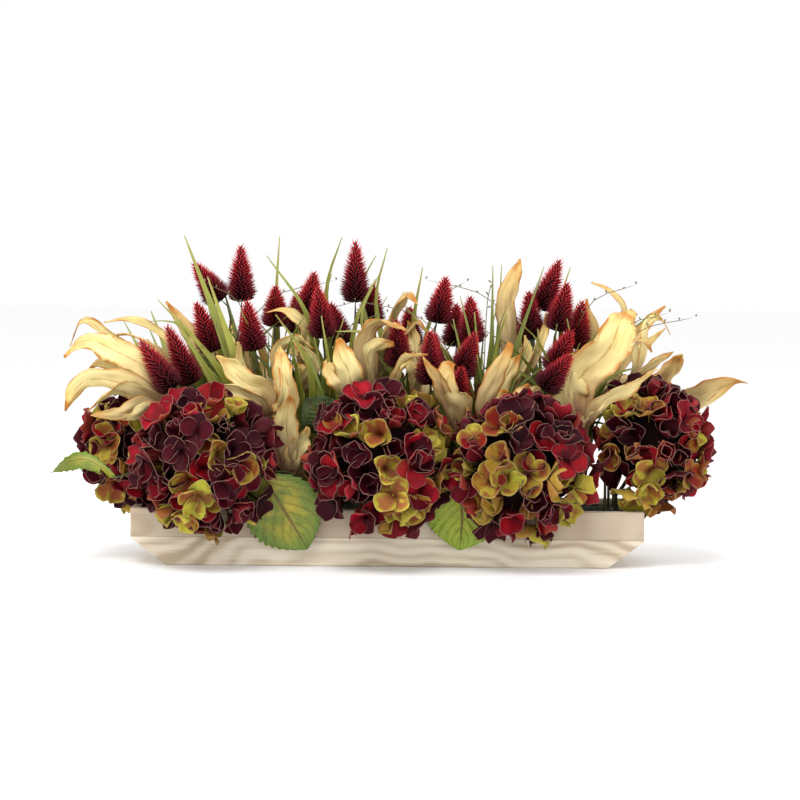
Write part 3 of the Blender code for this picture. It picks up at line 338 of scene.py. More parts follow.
# %% Grass
# root; for each blade its tries, its width and the points of its middle line past the root
GRASS = {name: (metres(root), [(row[0], row[1] / MILLIMETRES, line_points(row[2:])) for row in rows])
         for name, (root, *rows) in read_table("""
grass_1 -200.5 30
  54 8  -249.5 -5 200  -287.5 -15 246
  110 8  -247.5 -10 170  -317.5 -40 202
  49 9  -237.5 0 180  -303.5 -15 210
  8 6  -192.5 15 200  -227.5 10 250  -255.5 5 252
  20 6  -192.5 30 200  -202.5 30 250  -223.5 30 316
grass_2 -132.5 15
  30 10  -142.5 -12 160  -159.5 -26 230  -194.5 -26 336
  24 7  -137.5 30 190  -147.5 35 280  -153.5 35 340
  42 7  -149.5 -10 180  -169.5 -15 232  -199.5 -20 280
  147 7  -162.5 50 170  -202.5 85 230
grass_3 -84.5 12
  10 7  -82.5 10 190  -91.5 10 262  -137.5 10 327
  112 7  -105.5 40 190  -117.5 45 275  -117.5 45 330
  87 6  -99.5 10 200  -113.5 10 282
  0 7  -82.5 60 170  -107.5 95 235
grass_4 -57.5 20
  12 8  -67.5 15 200  -72.5 10 290  -57.5 10 346
  9 6  -60.5 -30 180  -73.5 -40 264
  0 6  -65.5 -35 160  -89.5 -55 236
  12 7  -49.5 50 190  -32.5 70 270
grass_5 24.5 20
  23 9  10.5 -10 195  -27.5 -20 258  -65.5 -20 268
  4 7  2.5 15 200  -14.5 15 280  -2.5 15 341
  20 7  -5.5 0 200  -25.5 -5 290  -7.5 -5 331
  20 8  28.5 10 235  43.5 10 302
  0 7  22.5 60 180  32.5 90 250
grass_6 102.5 -10
  35 6  102.5 0 210  98.5 0 260  92.5 0 306
  13 6  108.5 20 210  106.5 20 270  103.5 20 321
  48 6  110.5 -15 210  110.5 -15 312
  36 6  118.5 0 210  124.5 0 306
  134 6  124.5 40 200  142.5 60 286
  42 6  92.5 10 200  48.5 20 286
  12 6  90.5 -20 190  78.5 -30 270
grass_7 177.5 25
  0 7  190.5 20 200  188.5 15 280  198.5 10 322
  83 9  174.5 -20 170  172.5 -30 216  193.5 -30 267
  0 6  162.5 30 200  152.5 30 281
  0 7  192.5 50 170  227.5 85 235
grass_8 207.5 -15
  16 8  202.5 -35 195  232.5 -40 246  280.5 -40 262
  59 8  198.5 -55 165  232.5 -72 194  268.5 -75 190
  6 6  212.5 -25 180  238.5 -30 212
""").items()}
print(sum(len(blades) for root, blades in GRASS.values()), "blades of grass")

# %% Green leaves
# root, height of the knot, width, roll, and the points of the midrib; the stalk runs from the knot to
# the first point
LEAVES = {name: (metres(row[:2]), row[2] / MILLIMETRES, row[3] / MILLIMETRES, row[4], line_points(row[5:]))
          for name, (row,) in read_table("""
leaf_1 -80.5 -45 78 82 0  -132.5 -83 98  -108.5 -81 58  -84.5 -81 20
leaf_2 57.5 -45 78 74 0  76 -83 92  80 -81 56  77.5 -81 20
leaf_3 -240.5 -30 78 45 -60  -292.5 -55 92  -327.5 -62 110  -359.5 -68 98
leaf_4 -67.5 -33 110 45 0  -62.5 -45 140  -72.5 -58 160  -89.5 -60 178
""").items()}
for front, back in (("leaf_1", "leaf_5"), ("leaf_2", "leaf_6")):
    root, height, width, roll, points = LEAVES[front]
    LEAVES[back] = (root * MIRROR[:2], height, width, roll + 180, points * MIRROR)
print(len(LEAVES), "leaves")

# %% [markdown]
# ## Paths
#
# A leaf, a blade or a stalk follows a middle line, a smooth curve through a few points (Catmull-Rom),
# read at even steps, so that a few numbers place a whole leaf. A leaf is a ribbon along its line: the
# roll says which way its face turns.

# %% Smooth paths
def smooth_path(points, count):
    """Smooth curve through the points (Catmull-Rom), read at even steps along its length."""
    p = np.asarray(points, float)
    p = np.vstack([2 * p[0] - p[1], p, 2 * p[-1] - p[-2]])
    u = np.linspace(0, 1, 17)[:, None]
    spans = [0.5 * (2 * b + (c - a) * u + (2 * a - 5 * b + 4 * c - d) * u ** 2
                    + (3 * b - a - 3 * c + d) * u ** 3)
             for a, b, c, d in zip(p, p[1:], p[2:], p[3:])]
    dense = np.vstack(spans)
    length = np.r_[0, np.cumsum(np.linalg.norm(np.diff(dense, axis=0), axis=1))]
    at = np.linspace(0, length[-1], count)
    return np.column_stack([np.interp(at, length, dense[:, k]) for k in range(3)])


def unit(vectors):
    return vectors / np.linalg.norm(vectors, axis=-1, keepdims=True)


def square_axes(along, hint):
    """Two directions that are square to `along` and to each other."""
    side = unit(np.cross(along, hint))
    return side, np.cross(along, side)


def ribbon_axes(path, roll):
    """Sideways and outward directions along a path; a roll of 0 turns the ribbon's face to the front."""
    along = unit(np.gradient(path, axis=0))
    middle = unit(path[-1] - path[0])
    across = np.cross(middle, (0.0, -1.0, 0.0))
    if np.linalg.norm(across) < 0.2:
        across = np.array((1.0, 0.0, 0.0))
    across = unit(across)
    turn = math.radians(roll)
    across = across * math.cos(turn) + np.cross(middle, across) * math.sin(turn)
    side = unit(across - along * (along @ across)[:, None])
    return side, np.cross(side, along)


# %% Stems and the lines of parts
GAP = 0.0003
BOX_HEIGHT, FOAM_TOP, HOLE_BOTTOM = 0.061, 0.052, 0.027
STEM_RADIUS, THIN_RADIUS, KNOT_RADIUS = 0.0021, 0.0010, 0.0042
SPRAY_KNOT, TUFT_KNOT = BOX_HEIGHT + 0.010, BOX_HEIGHT + 0.008


def bent_line(joint, points, sway, share):
    """A part's middle line from the knot, made smaller by `share` and bent by `sway` towards its tip."""
    line = joint + (points - joint) * share
    line = line + sway * np.linspace(0.4, 1, len(line))[:, None]
    start = joint + unit(line[0] - joint) * KNOT_RADIUS * 0.3
    return [start, *line]


def head_stem(root, centre):
    """Middle line of a head's stem: straight up out of the foam, then across to the head's core."""
    foot, knee = np.array((*root, HOLE_BOTTOM + GAP)), np.array((*root, BOX_HEIGHT + 0.006))
    end = centre - (centre - knee) * 0.3
    line = smooth_path([foot, (*root, FOAM_TOP - 0.008), knee, end], 9)
    line[:5, :2] = root
    return line


def head_directions(facing, count, spread):
    """Evenly spread directions round `facing`, on a golden-angle spiral out to `spread` degrees."""
    facing = unit(np.array(facing, float))
    across = unit(np.cross(facing, (0.0, 0.0, 1.0)))
    up = np.cross(across, facing)
    number = np.arange(count) + 0.5
    height = 1 - number / count * (1 - math.cos(math.radians(spread)))
    turn = number * math.radians(137.508)
    ring = np.sqrt(1 - height ** 2)
    return (height[:, None] * facing + (ring * np.cos(turn))[:, None] * across
            + (ring * np.sin(turn))[:, None] * up)



# %% [markdown]
# ## From arrays to meshes
#
# Petals, leaves and blades are thin sheets: a grid of points, pushed out by half its thickness to both
# sides and closed round the rim. Stalks are tubes round a path. Both are computed for many pieces at
# once as whole arrays. A Heap gathers them, with a UV for each point (across and along the sheet) and a
# few named numbers, such as which petal kind it is, for the finishes to read. One call then fills the mesh.

# %% Faces between points in rows
def shell_faces(rows, columns):
    """Faces of a closed shell: a grid of points, the same grid again for its back, and a rim between."""
    index = np.arange(rows * columns).reshape(rows, columns)
    a, b, c, d = index[:-1, :-1], index[:-1, 1:], index[1:, 1:], index[1:, :-1]
    front = np.stack([a, b, c, d], -1).reshape(-1, 4)
    edge = np.concatenate([index[0, :-1], index[:-1, -1], index[-1, :0:-1], index[:0:-1, 0]])
    after = np.roll(edge, -1)
    rim = np.stack([edge, edge + index.size, after + index.size, after], -1)
    return np.vstack([front, front[:, ::-1] + index.size, rim])


def ring_faces(rings, sides):
    """Faces between each ring of points and the next."""
    row, turn = np.arange(rings - 1)[:, None] * sides, np.arange(sides)
    after = (turn + 1) % sides
    return np.stack([row + turn, row + after, row + sides + after, row + sides + turn], -1).reshape(-1, 4)


def repeated(faces, count, points):
    """The faces again for each of `count` alike surfaces that have `points` points."""
    return (faces[None] + (np.arange(count) * points)[:, None, None]).reshape(-1, 4)


# %% Closed sheets
def closed_sheets(grids, thickness):
    """Thin closed sheets round P grids of points (P, rows, columns, 3).

    The normal at a point is the cross product of the steps along and across the grid. The front is the
    grid plus half the thickness along it, the back is the grid minus half, and a rim joins the two.
    Gives points, faces, uv and a number that is 1 on the front and 0 on the back.
    """
    count, rows, columns, _ = grids.shape
    along, across = np.gradient(grids, axis=1), np.gradient(grids, axis=2)
    normal = np.cross(across, along)
    normal /= np.maximum(np.linalg.norm(normal, axis=-1, keepdims=True), 1e-12)
    shift = normal * thickness / 2
    points = np.stack([grids + shift, grids - shift], axis=1).reshape(-1, 3)
    faces = repeated(shell_faces(rows, columns), count, 2 * rows * columns)
    u, v = np.meshgrid(np.linspace(0, 1, columns), np.linspace(0, 1, rows))
    uv = np.tile(np.column_stack([u.ravel(), v.ravel()]), (2 * count, 1))
    side = np.tile(np.repeat([1.0, 0.0], rows * columns), count)
    return points, faces, uv, side


# %% Tubes
TUBE_END = 0.02      # the first and the last ring's share of the radius


def tubes(paths, radii, sides=5):
    """Tubes round P paths (P, n, 3), with a radius for each of the n points.

    A ring lies square to the path at each point, and the first and the last ring shrink on to the path.
    """
    count, steps, _ = paths.shape
    along = unit(np.gradient(paths, axis=1))
    side, other = square_axes(along, (0.31, 0.87, 0.39))
    angle = 2 * np.pi * np.arange(sides) / sides
    radius = np.asarray(radii, float) * np.r_[TUBE_END, np.ones(steps - 2), TUBE_END]
    ring = (np.cos(angle)[:, None] * side[:, :, None] + np.sin(angle)[:, None] * other[:, :, None])
    points = (paths[:, :, None] + ring * radius[:, None, None]).reshape(-1, 3)
    faces = repeated(ring_faces(steps, sides), count, steps * sides)
    v, u = np.meshgrid(np.linspace(0, 1, steps), np.arange(sides) / sides, indexing="ij")
    return points, faces, np.tile(np.column_stack([u.ravel(), v.ravel()]), (count, 1))


# %% A heap of surfaces
VALUES = ("kind", "shade", "front")      # the numbers that every point carries


class Heap:
    """Surfaces gathered for one piece."""

    def __init__(self):
        self.points, self.uv, self.values, self.faces, self.finish = [], [], [], [], []
        self.count = 0

    def add(self, points, faces, uv, finish=0, **values):
        """Add points (n, 3), faces (m, 3 or 4), uv (n, 2) and a number or an array for each value."""
        columns = [np.broadcast_to(values.get(name, 0.0), len(points)) for name in VALUES]
        self.points.append(points)
        self.uv.append(uv)
        self.values.append(np.column_stack(columns))
        self.faces.append(faces + self.count)
        self.finish.append(np.full(len(faces), finish))
        self.count += len(points)

    def add_each(self, count, points, faces, uv, finish=0, **values):
        """Add `count` alike surfaces. A value is one number, or has one for each surface or each point."""
        for name, value in values.items():
            if np.size(value) == count:
                values[name] = np.repeat(value, len(points) // count)
        self.add(points, faces, uv, finish, **values)

    def add_sheets(self, grids, thickness, reach=1.0, **values):
        """Add closed sheets with the first finish; v runs from 0 to `reach` along them."""
        points, faces, uv, front = closed_sheets(grids, thickness)
        self.add_each(len(grids), points, faces, uv * (1, reach), front=front, **values)

    def add_tubes(self, paths, radii, finish, sides=5, **values):
        """Add tubes with the given finish."""
        self.add_each(len(paths), *tubes(paths, radii, sides), finish, **values)

    def mesh(self, name, finishes):
        """The Blender mesh of all surfaces, smooth, with its UV map, its numbers and its finishes."""
        made = bpy.data.meshes.new(name)
        points = np.vstack(self.points)
        corners = np.concatenate([faces.ravel() for faces in self.faces])
        sizes = np.concatenate([np.full(len(faces), faces.shape[1]) for faces in self.faces])
        made.vertices.add(len(points))
        made.vertices.foreach_set("co", points.ravel())
        made.loops.add(len(corners))
        made.loops.foreach_set("vertex_index", corners)
        made.polygons.add(len(sizes))
        made.polygons.foreach_set("loop_start", np.cumsum(sizes) - sizes)
        made.polygons.foreach_set("material_index", np.concatenate(self.finish))
        made.polygons.foreach_set("use_smooth", np.ones(len(sizes), bool))
        made.uv_layers.new(name="sheet").data.foreach_set("uv", np.vstack(self.uv)[corners].ravel())
        for number, value in enumerate(VALUES):
            attribute = made.attributes.new(value, "FLOAT", "POINT")
            attribute.data.foreach_set("value", np.vstack(self.values)[:, number].astype(np.float32))
        for finish in finishes:
            made.materials.append(finish)
        made.update(calc_edges=True)
        made.validate()
        return made


def place_piece(name, heap, finishes, slot, *nodes):
    """The finished piece: it rides on the body and stands for its plain solids. `slot` is not used."""
    piece = new_object(name, heap.mesh(name, finishes))
    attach(piece, "root")
    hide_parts(*nodes)
    return piece


# %% [markdown]
# ## Writing finishes as short recipes
#
# A finish is a network of shader nodes. To keep a network readable, a Recipe adds one node per call
# and hands back its output, so that a finish reads from top to bottom like a recipe. Effects that
# several finishes share, such as blotches, fine fibres and rims, are node groups with named sockets.

# %% Recipes
class Recipe:
    """Adds nodes to one tree. A call gives an output socket, which later calls take as an input."""

    def __init__(self, tree):
        self.tree = tree

    def add(self, kind, inputs=(), output=0, **settings):
        node = self.tree.nodes.new(kind)
        for key, value in settings.items():
            setattr(node, key, value)
        for key, value in dict(inputs).items():
            if isinstance(value, bpy.types.NodeSocket):
                self.tree.links.new(value, node.inputs[key])
            else:
                node.inputs[key].default_value = value
        return node.outputs[output]

    def number(self, name):
        return self.add("ShaderNodeAttribute", output="Fac", attribute_name=name)

    def place(self):
        return self.add("ShaderNodeTexCoord", output="Object")

    def sheet(self):
        """The UV of a sheet, as its two numbers: across and along."""
        parts = self.split(self.add("ShaderNodeUVMap", uv_map="sheet"))
        return parts["X"], parts["Y"]

    def split(self, vector):
        return self.add("ShaderNodeSeparateXYZ", {0: vector}).node.outputs

    def maths(self, operation, *values):
        return self.add("ShaderNodeMath", enumerate(values), operation=operation)

    def off_middle(self, across):
        """The distance from a sheet's middle line: 0 there, 0.5 at both edges."""
        return self.maths("ABSOLUTE", self.maths("SUBTRACT", across, 0.5))

    def spread(self, value, low, high, to_low=0.0, to_high=1.0):
        """Map low..high smoothly to 0..1, or to the two given numbers."""
        return self.add("ShaderNodeMapRange", {"Value": value, "From Min": low, "From Max": high,
                                               "To Min": to_low, "To Max": to_high},
                        interpolation_type="SMOOTHSTEP")

    def noise(self, vector, scale, detail=3.0, stretch=None):
        if stretch:
            vector = self.add("ShaderNodeMapping", {"Vector": vector, "Scale": stretch})
        return self.add("ShaderNodeTexNoise", {"Vector": vector, "Scale": scale, "Detail": detail})

    def mix(self, share, first, second, blend="MIX"):
        return self.add("ShaderNodeMix", {0: share, 6: first, 7: second}, output=2, data_type="RGBA",
                        blend_type=blend, clamp_factor=True)

    def tint(self, colour, factor):
        """The colour times a number."""
        grey = self.add("ShaderNodeCombineColor", {"Red": factor, "Green": factor, "Blue": factor})
        return self.mix(1.0, colour, grey, "MULTIPLY")

    def effect(self, group, **values):
        """The result of a node group with its own values."""
        return self.add("ShaderNodeGroup", values, node_tree=group)

    def ramp(self, value, stops):
        """A colour for each place on 0..1; between the stops it is blended."""
        socket = self.add("ShaderNodeValToRGB", {"Fac": value})
        bar_ = socket.node.color_ramp
        while len(bar_.elements) < len(stops):
            bar_.elements.new(0.5)
        for element, (place, colour) in zip(bar_.elements, stops):
            element.position, element.color = place, (*colour, 1.0)
        return socket

    def bump(self, height, strength, distance):
        return self.add("ShaderNodeBump", {"Height": height, "Strength": strength, "Distance": distance})

    def feed(self, **sockets):
        """Link outputs to the shader's sockets, such as Base_Color and Normal."""
        shader = self.tree.nodes["Principled BSDF"]
        for key, socket in sockets.items():
            self.tree.links.new(socket, shader.inputs[key.replace("_", " ")])


def new_finish(name, roughness, **plain):
    """A material with a recipe for its nodes. Values that are the same all over go on the shader."""
    finish = bpy.data.materials.new(name)
    finish.use_nodes = True
    shader = finish.node_tree.nodes["Principled BSDF"]
    shader.inputs["Roughness"].default_value = roughness
    for key, value in plain.items():
        shader.inputs[key.replace("_", " ")].default_value = value
    return finish, Recipe(finish.node_tree)


# %% Shared effects as node groups
def new_group(name, inputs, outputs):
    """An empty node group with sockets (name, kind, starting value) and a recipe for its inside."""
    tree = bpy.data.node_groups.new(name, "ShaderNodeTree")
    for label, kind, start in inputs:
        socket = tree.interface.new_socket(label, in_out="INPUT", socket_type=kind)
        if start is not None:
            socket.default_value = start
    for label, kind in outputs:
        tree.interface.new_socket(label, in_out="OUTPUT", socket_type=kind)
    inside = tree.nodes.new("NodeGroupInput")
    outside = tree.nodes.new("NodeGroupOutput")
    return tree, Recipe(tree), inside.outputs, outside.inputs


FLOAT, COLOUR = "NodeSocketFloat", "NodeSocketColor"

# Blotches: a colour made lighter and darker in soft patches. Colour times 1 + amount * (noise - 0.5).
blotches, recipe, given, result = new_group(
    "blotches", [("Colour", COLOUR, None), ("Scale", FLOAT, 60.0), ("Amount", FLOAT, 0.5)],
    [("Colour", COLOUR)])
patch = recipe.noise(recipe.place(), given["Scale"])
factor = recipe.maths("MULTIPLY_ADD", recipe.maths("SUBTRACT", patch, 0.5), given["Amount"], 1.0)
blotches.links.new(recipe.tint(given["Colour"], factor), result["Colour"])

# Rim: 1 within a given share of a sheet's edges, fading to 0 inside. The distance to the nearest edge
# is the least of u, 1 - u and 1 - v.
rim, recipe, given, result = new_group("rim", [("Width", FLOAT, 0.05), ("Fade", FLOAT, 0.02)],
                                       [("Mask", FLOAT)])
across, along = recipe.sheet()
to_side = recipe.maths("MINIMUM", across, recipe.maths("SUBTRACT", 1.0, across))
nearest = recipe.maths("MINIMUM", to_side, recipe.maths("SUBTRACT", 1.0, along))
outer = recipe.maths("ADD", given["Width"], given["Fade"])
rim.links.new(recipe.spread(nearest, given["Width"], outer, 1.0, 0.0), result["Mask"])

# Veins: thin lines that leave the middle of a sheet at a slant towards its tip. The wave runs along
# v minus slant times the distance from the middle, and only its crests count.
veins, recipe, given, result = new_group(
    "veins", [("Count", FLOAT, 9.0), ("Slant", FLOAT, 0.5), ("Width", FLOAT, 0.2)], [("Mask", FLOAT)])
across, along = recipe.sheet()
off_middle = recipe.off_middle(across)
run = recipe.maths("SUBTRACT", along, recipe.maths("MULTIPLY", off_middle, given["Slant"]))
saw = recipe.maths("FRACT", recipe.maths("MULTIPLY", run, given["Count"]))
crest = recipe.maths("ABSOLUTE", recipe.maths("SUBTRACT", saw, 0.5))
side_vein = recipe.spread(crest, 0.0, given["Width"], 1.0, 0.0)
midrib = recipe.spread(off_middle, 0.008, 0.030, 1.0, 0.0)
veins.links.new(recipe.maths("MAXIMUM", side_vein, midrib), result["Mask"])

# Fibres: fine lines that run along a sheet, from noise that is stretched along v.
fibres, recipe, given, result = new_group("fibres", [("Count", FLOAT, 40.0)], [("Mask", FLOAT)])
uv = recipe.add("ShaderNodeUVMap", uv_map="sheet")
drawn_out = recipe.add("ShaderNodeMapping", {"Vector": uv, "Scale": (1.0, 0.05, 1.0)})
fibres.links.new(recipe.add("ShaderNodeTexNoise", {"Vector": drawn_out, "Scale": given["Count"],
                                                   "Detail": 2.0}), result["Mask"])

print("shared effects:", blotches.name, rim.name, veins.name, fibres.name)


# %% [markdown]
# ## The finish of the petals
#
# The petals are printed cloth, punched out of white fabric. So each has its printed colour on top,
# a duller print below, and a thin pale rim where the cut fabric shows. Three prints are mixed: dark
# plum, bright red, and rust that turns yellow-green towards the edge. The number "kind" picks the
# print and "shade" makes each petal a little lighter or darker than its neighbours.

# %% Petals
petal_finish, recipe = new_finish("petal cloth", 0.5, Specular_IOR_Level=0.09)
kind, shade, front = recipe.number("kind"), recipe.number("shade"), recipe.number("front")
across, along = recipe.sheet()
middle = recipe.ramp(kind, [(0.0, (0.020, 0.002, 0.005)), (0.3, (0.070, 0.003, 0.008)),
                            (0.46, (0.30, 0.003, 0.011)), (0.58, (0.27, 0.007, 0.011)),
                            (0.70, (0.20, 0.035, 0.016)), (1.0, (0.28, 0.12, 0.034))])
border = recipe.ramp(kind, [(0.0, (0.035, 0.003, 0.008)), (0.3, (0.055, 0.003, 0.008)),
                            (0.46, (0.14, 0.004, 0.011)), (0.58, (0.20, 0.009, 0.012)),
                            (0.70, (0.31, 0.19, 0.022)), (1.0, (0.47, 0.46, 0.045))])
below = recipe.ramp(kind, [(0.0, (0.045, 0.006, 0.010)), (0.3, (0.10, 0.009, 0.014)),
                           (0.48, (0.24, 0.012, 0.020)), (0.70, (0.28, 0.10, 0.025)),
                           (1.0, (0.42, 0.36, 0.050))])
# Colours towards each petal's claw: painted shade deep in the floret, laid over the green prints' own
# reddish brown base.
claw_shade = recipe.ramp(kind, [(0.0, (0.008, 0.001, 0.003)), (0.5, (0.035, 0.001, 0.004)),
                          (0.70, (0.06, 0.006, 0.005)), (1.0, (0.15, 0.045, 0.012))])
to_border = recipe.effect(rim, Width=0.02, Fade=0.34)
patch = recipe.spread(recipe.noise(recipe.place(), 60.0, 1.0), 0.48, 0.62, 0.0, 0.9)
to_border = recipe.maths("MAXIMUM", recipe.maths("MULTIPLY", to_border, 0.9), patch)
colour = recipe.mix(to_border, middle, border)
# painted shade: each petal darkens towards its claw
colour = recipe.mix(recipe.spread(along, 0.0, 0.45, 0.9, 0.0), colour, claw_shade)
colour = recipe.mix(front, below, colour)
fine = recipe.effect(fibres, Count=26.0)
lighter = recipe.maths("MULTIPLY_ADD", fine, 0.7, recipe.maths("ADD", shade, 0.65))
colour = recipe.tint(colour, lighter)
colour = recipe.effect(blotches, Colour=colour, Scale=90.0, Amount=0.7)
pale = recipe.effect(rim, Width=0.004, Fade=0.012)
colour = recipe.mix(recipe.maths("MULTIPLY", pale, 0.60), colour, (0.42, 0.26, 0.20, 1.0))
recipe.feed(Base_Color=colour, Normal=recipe.bump(fine, 0.25, 0.0006))

bud_and_core_shade_finish, recipe = new_finish("florets' middle and core shade", 0.8, Specular_IOR_Level=0.08)
# At kind 0 the colour is near black. That is the head's core: painted shade deep inside the head, where the
# gaps between florets look in. The buds and their stalks take their floret's kind.
bud = recipe.ramp(recipe.number("kind"), [(0.0, (0.010, 0.003, 0.003)), (0.5, (0.12, 0.03, 0.010)),
                                          (1.0, (0.26, 0.26, 0.04))])
recipe.feed(Base_Color=recipe.effect(blotches, Colour=bud, Scale=400.0, Amount=0.8))
print("petals:", len(petal_finish.node_tree.nodes), "nodes")

# %% [markdown]
# ## The finishes of foxtails and stalks
#
# A foxtail is nearly black-red at its foot and glows red towards its tip, where light passes through
# the bristles. "kind" holds the height on the foxtail, and v of the UV runs from a bristle's root to
# its tip. Each bristle gets painted shade at its root, deep among the others, and painted light at its
# tip, where light passes through. Stalks are flexible wires with a green plastic skin.

# %% Bristles and stalks
bristle_finish, recipe = new_finish("foxtail bristles", 0.55, Specular_IOR_Level=0.2)
across, along = recipe.sheet()
body = recipe.ramp(recipe.number("kind"), [(0.0, (0.035, 0.003, 0.006)), (0.35, (0.13, 0.006, 0.011)),
                                           (0.7, (0.32, 0.014, 0.020)), (1.0, (0.42, 0.024, 0.028))])
# Painted shade and light on each bristle: it is dark at its root, deep among the others, and bright at its
# tip, where light passes through.
root_shade_and_tip_light = recipe.maths("MULTIPLY_ADD", recipe.maths("POWER", along, 1.5), 2.3,
                    recipe.maths("ADD", recipe.number("shade"), 0.12))
recipe.feed(Base_Color=recipe.tint(body, root_shade_and_tip_light))

stalk_finish, recipe = new_finish("stalks", 0.5)
skin = recipe.ramp(recipe.number("kind"), [(0.0, (0.030, 0.040, 0.014)), (0.5, (0.085, 0.10, 0.030)),
                                           (1.0, (0.26, 0.17, 0.085))])
recipe.feed(Base_Color=recipe.effect(blotches, Colour=skin, Scale=120.0, Amount=0.8))
print("bristles and stalks done")

# %% [markdown]
# ## The finish of the husk leaves
#
# Husk leaves are printed cream to tan. The print is burnt orange in a thin line along the edges and at
# the tip, brown along the midrib and near the stalk, with faint fibres along the leaf.

# %% Husks
husk_finish, recipe = new_finish("husk leaf", 0.55, Specular_IOR_Level=0.3)
kind, shade, front = recipe.number("kind"), recipe.number("shade"), recipe.number("front")
across, along = recipe.sheet()
cream = recipe.ramp(along, [(0.0, (0.14, 0.070, 0.035)), (0.20, (0.34, 0.19, 0.095)),
                            (0.42, (0.70, 0.55, 0.24)), (0.75, (0.86, 0.73, 0.32)),
                            (1.0, (0.82, 0.58, 0.18))])
tan = recipe.ramp(along, [(0.0, (0.11, 0.055, 0.032)), (0.3, (0.30, 0.175, 0.095)),
                          (0.6, (0.56, 0.40, 0.18)), (1.0, (0.70, 0.46, 0.14))])
colour = recipe.mix(kind, cream, tan)
colour = recipe.effect(blotches, Colour=colour, Scale=42.0, Amount=0.55)
fine = recipe.effect(fibres, Count=34.0)
colour = recipe.mix(recipe.spread(fine, 0.45, 0.75, 0.0, 0.35), colour, (0.40, 0.24, 0.11, 1.0))
patch = recipe.noise(recipe.place(), 70.0)
rib = recipe.maths("MULTIPLY", recipe.spread(recipe.off_middle(across), 0.015, 0.05, 1.0, 0.0),
                   recipe.spread(patch, 0.35, 0.6))
colour = recipe.mix(recipe.maths("MULTIPLY", rib, 0.55), colour, (0.36, 0.18, 0.055, 1.0))
burnt = recipe.effect(rim, Width=0.028, Fade=0.13)
burnt = recipe.maths("MULTIPLY", burnt, recipe.spread(patch, 0.36, 0.56, 0.1, 1.0))
burnt = recipe.maths("MULTIPLY", burnt, recipe.spread(along, 0.30, 0.75, 0.35, 1.0))
to_tip = recipe.maths("MULTIPLY", recipe.spread(along, 0.80, 1.0),
                      recipe.spread(patch, 0.38, 0.58, 0.2, 0.95))
colour = recipe.mix(recipe.maths("MAXIMUM", burnt, to_tip), colour, (0.52, 0.19, 0.022, 1.0))
lighter = recipe.maths("ADD", shade, 0.96)
colour = recipe.tint(colour, lighter)
recipe.feed(Base_Color=colour, Normal=recipe.bump(fine, 0.35, 0.0008))
print("husks:", len(husk_finish.node_tree.nodes), "nodes")

# %% [markdown]
# ## The finishes of grass and green leaves
#
# Blades of grass are dark at the foot and paler towards the tip, and "kind" moves each one between a
# bluish and a yellowish green. The hydrangea's own leaves are yellow-green in the middle, greener in
# blotches and towards the edge, with a brown midrib and side veins that slant to the tip.

# %% Grass and leaves
grass_finish, recipe = new_finish("grass blade", 0.38)
across, along = recipe.sheet()
cool = recipe.ramp(along, [(0.0, (0.022, 0.032, 0.006)), (0.30, (0.10, 0.13, 0.020)),
                           (0.80, (0.20, 0.25, 0.045)), (1.0, (0.28, 0.30, 0.08))])
warm = recipe.ramp(along, [(0.0, (0.050, 0.050, 0.008)), (0.30, (0.21, 0.21, 0.020)),
                           (0.80, (0.33, 0.33, 0.045)), (1.0, (0.40, 0.36, 0.08))])
colour = recipe.mix(recipe.number("kind"), cool, warm)
fine = recipe.effect(fibres, Count=30.0)
colour = recipe.mix(recipe.spread(fine, 0.45, 0.8, 0.0, 0.3), colour, (0.33, 0.37, 0.10, 1.0))
colour = recipe.effect(blotches, Colour=colour, Scale=50.0, Amount=0.6)
recipe.feed(Base_Color=colour, Normal=recipe.bump(fine, 0.3, 0.0006))

leaf_finish, recipe = new_finish("hydrangea leaf", 0.45)
kind = recipe.number("kind")
across, along = recipe.sheet()
middle = recipe.ramp(kind, [(0.0, (0.06, 0.09, 0.012)), (0.5, (0.40, 0.32, 0.024)),
                            (1.0, (0.42, 0.49, 0.028))])
outer = recipe.ramp(kind, [(0.0, (0.020, 0.045, 0.008)), (0.5, (0.11, 0.19, 0.015)),
                           (1.0, (0.27, 0.39, 0.020))])
patch = recipe.spread(recipe.noise(recipe.place(), 55.0), 0.38, 0.66)
to_edge = recipe.effect(rim, Width=0.03, Fade=0.40)
colour = recipe.mix(recipe.maths("MAXIMUM", recipe.maths("MULTIPLY", patch, 0.85), to_edge), middle, outer)
ribs = recipe.effect(veins, Count=7.0, Slant=0.80, Width=0.06)
colour = recipe.mix(recipe.maths("MULTIPLY", ribs, 0.85), colour, (0.13, 0.060, 0.014, 1.0))
swell = recipe.effect(veins, Count=7.0, Slant=0.80, Width=0.30)
colour = recipe.effect(blotches, Colour=colour, Scale=260.0, Amount=0.5)
recipe.feed(Base_Color=colour, Normal=recipe.bump(recipe.maths("SUBTRACT", 1.0, swell), 0.6, 0.0012))
print("grass and leaves done")


# %% [markdown]
# ## The wooden box
#
# The box is made of pale, unvarnished planks with their lower corners cut off. Each long board is
# glued from two strips, and the joint shows as a fine line at half height. The grain is growth rings
# cut lengthwise: straight streaks near the ends, and arched "cathedral" rings where the saw went
# through the middle of the tree. The solids already have the right shape, so they stay and only get
# the wood. The rings are the crests of a wave over a stretched distance from the arch's foot.

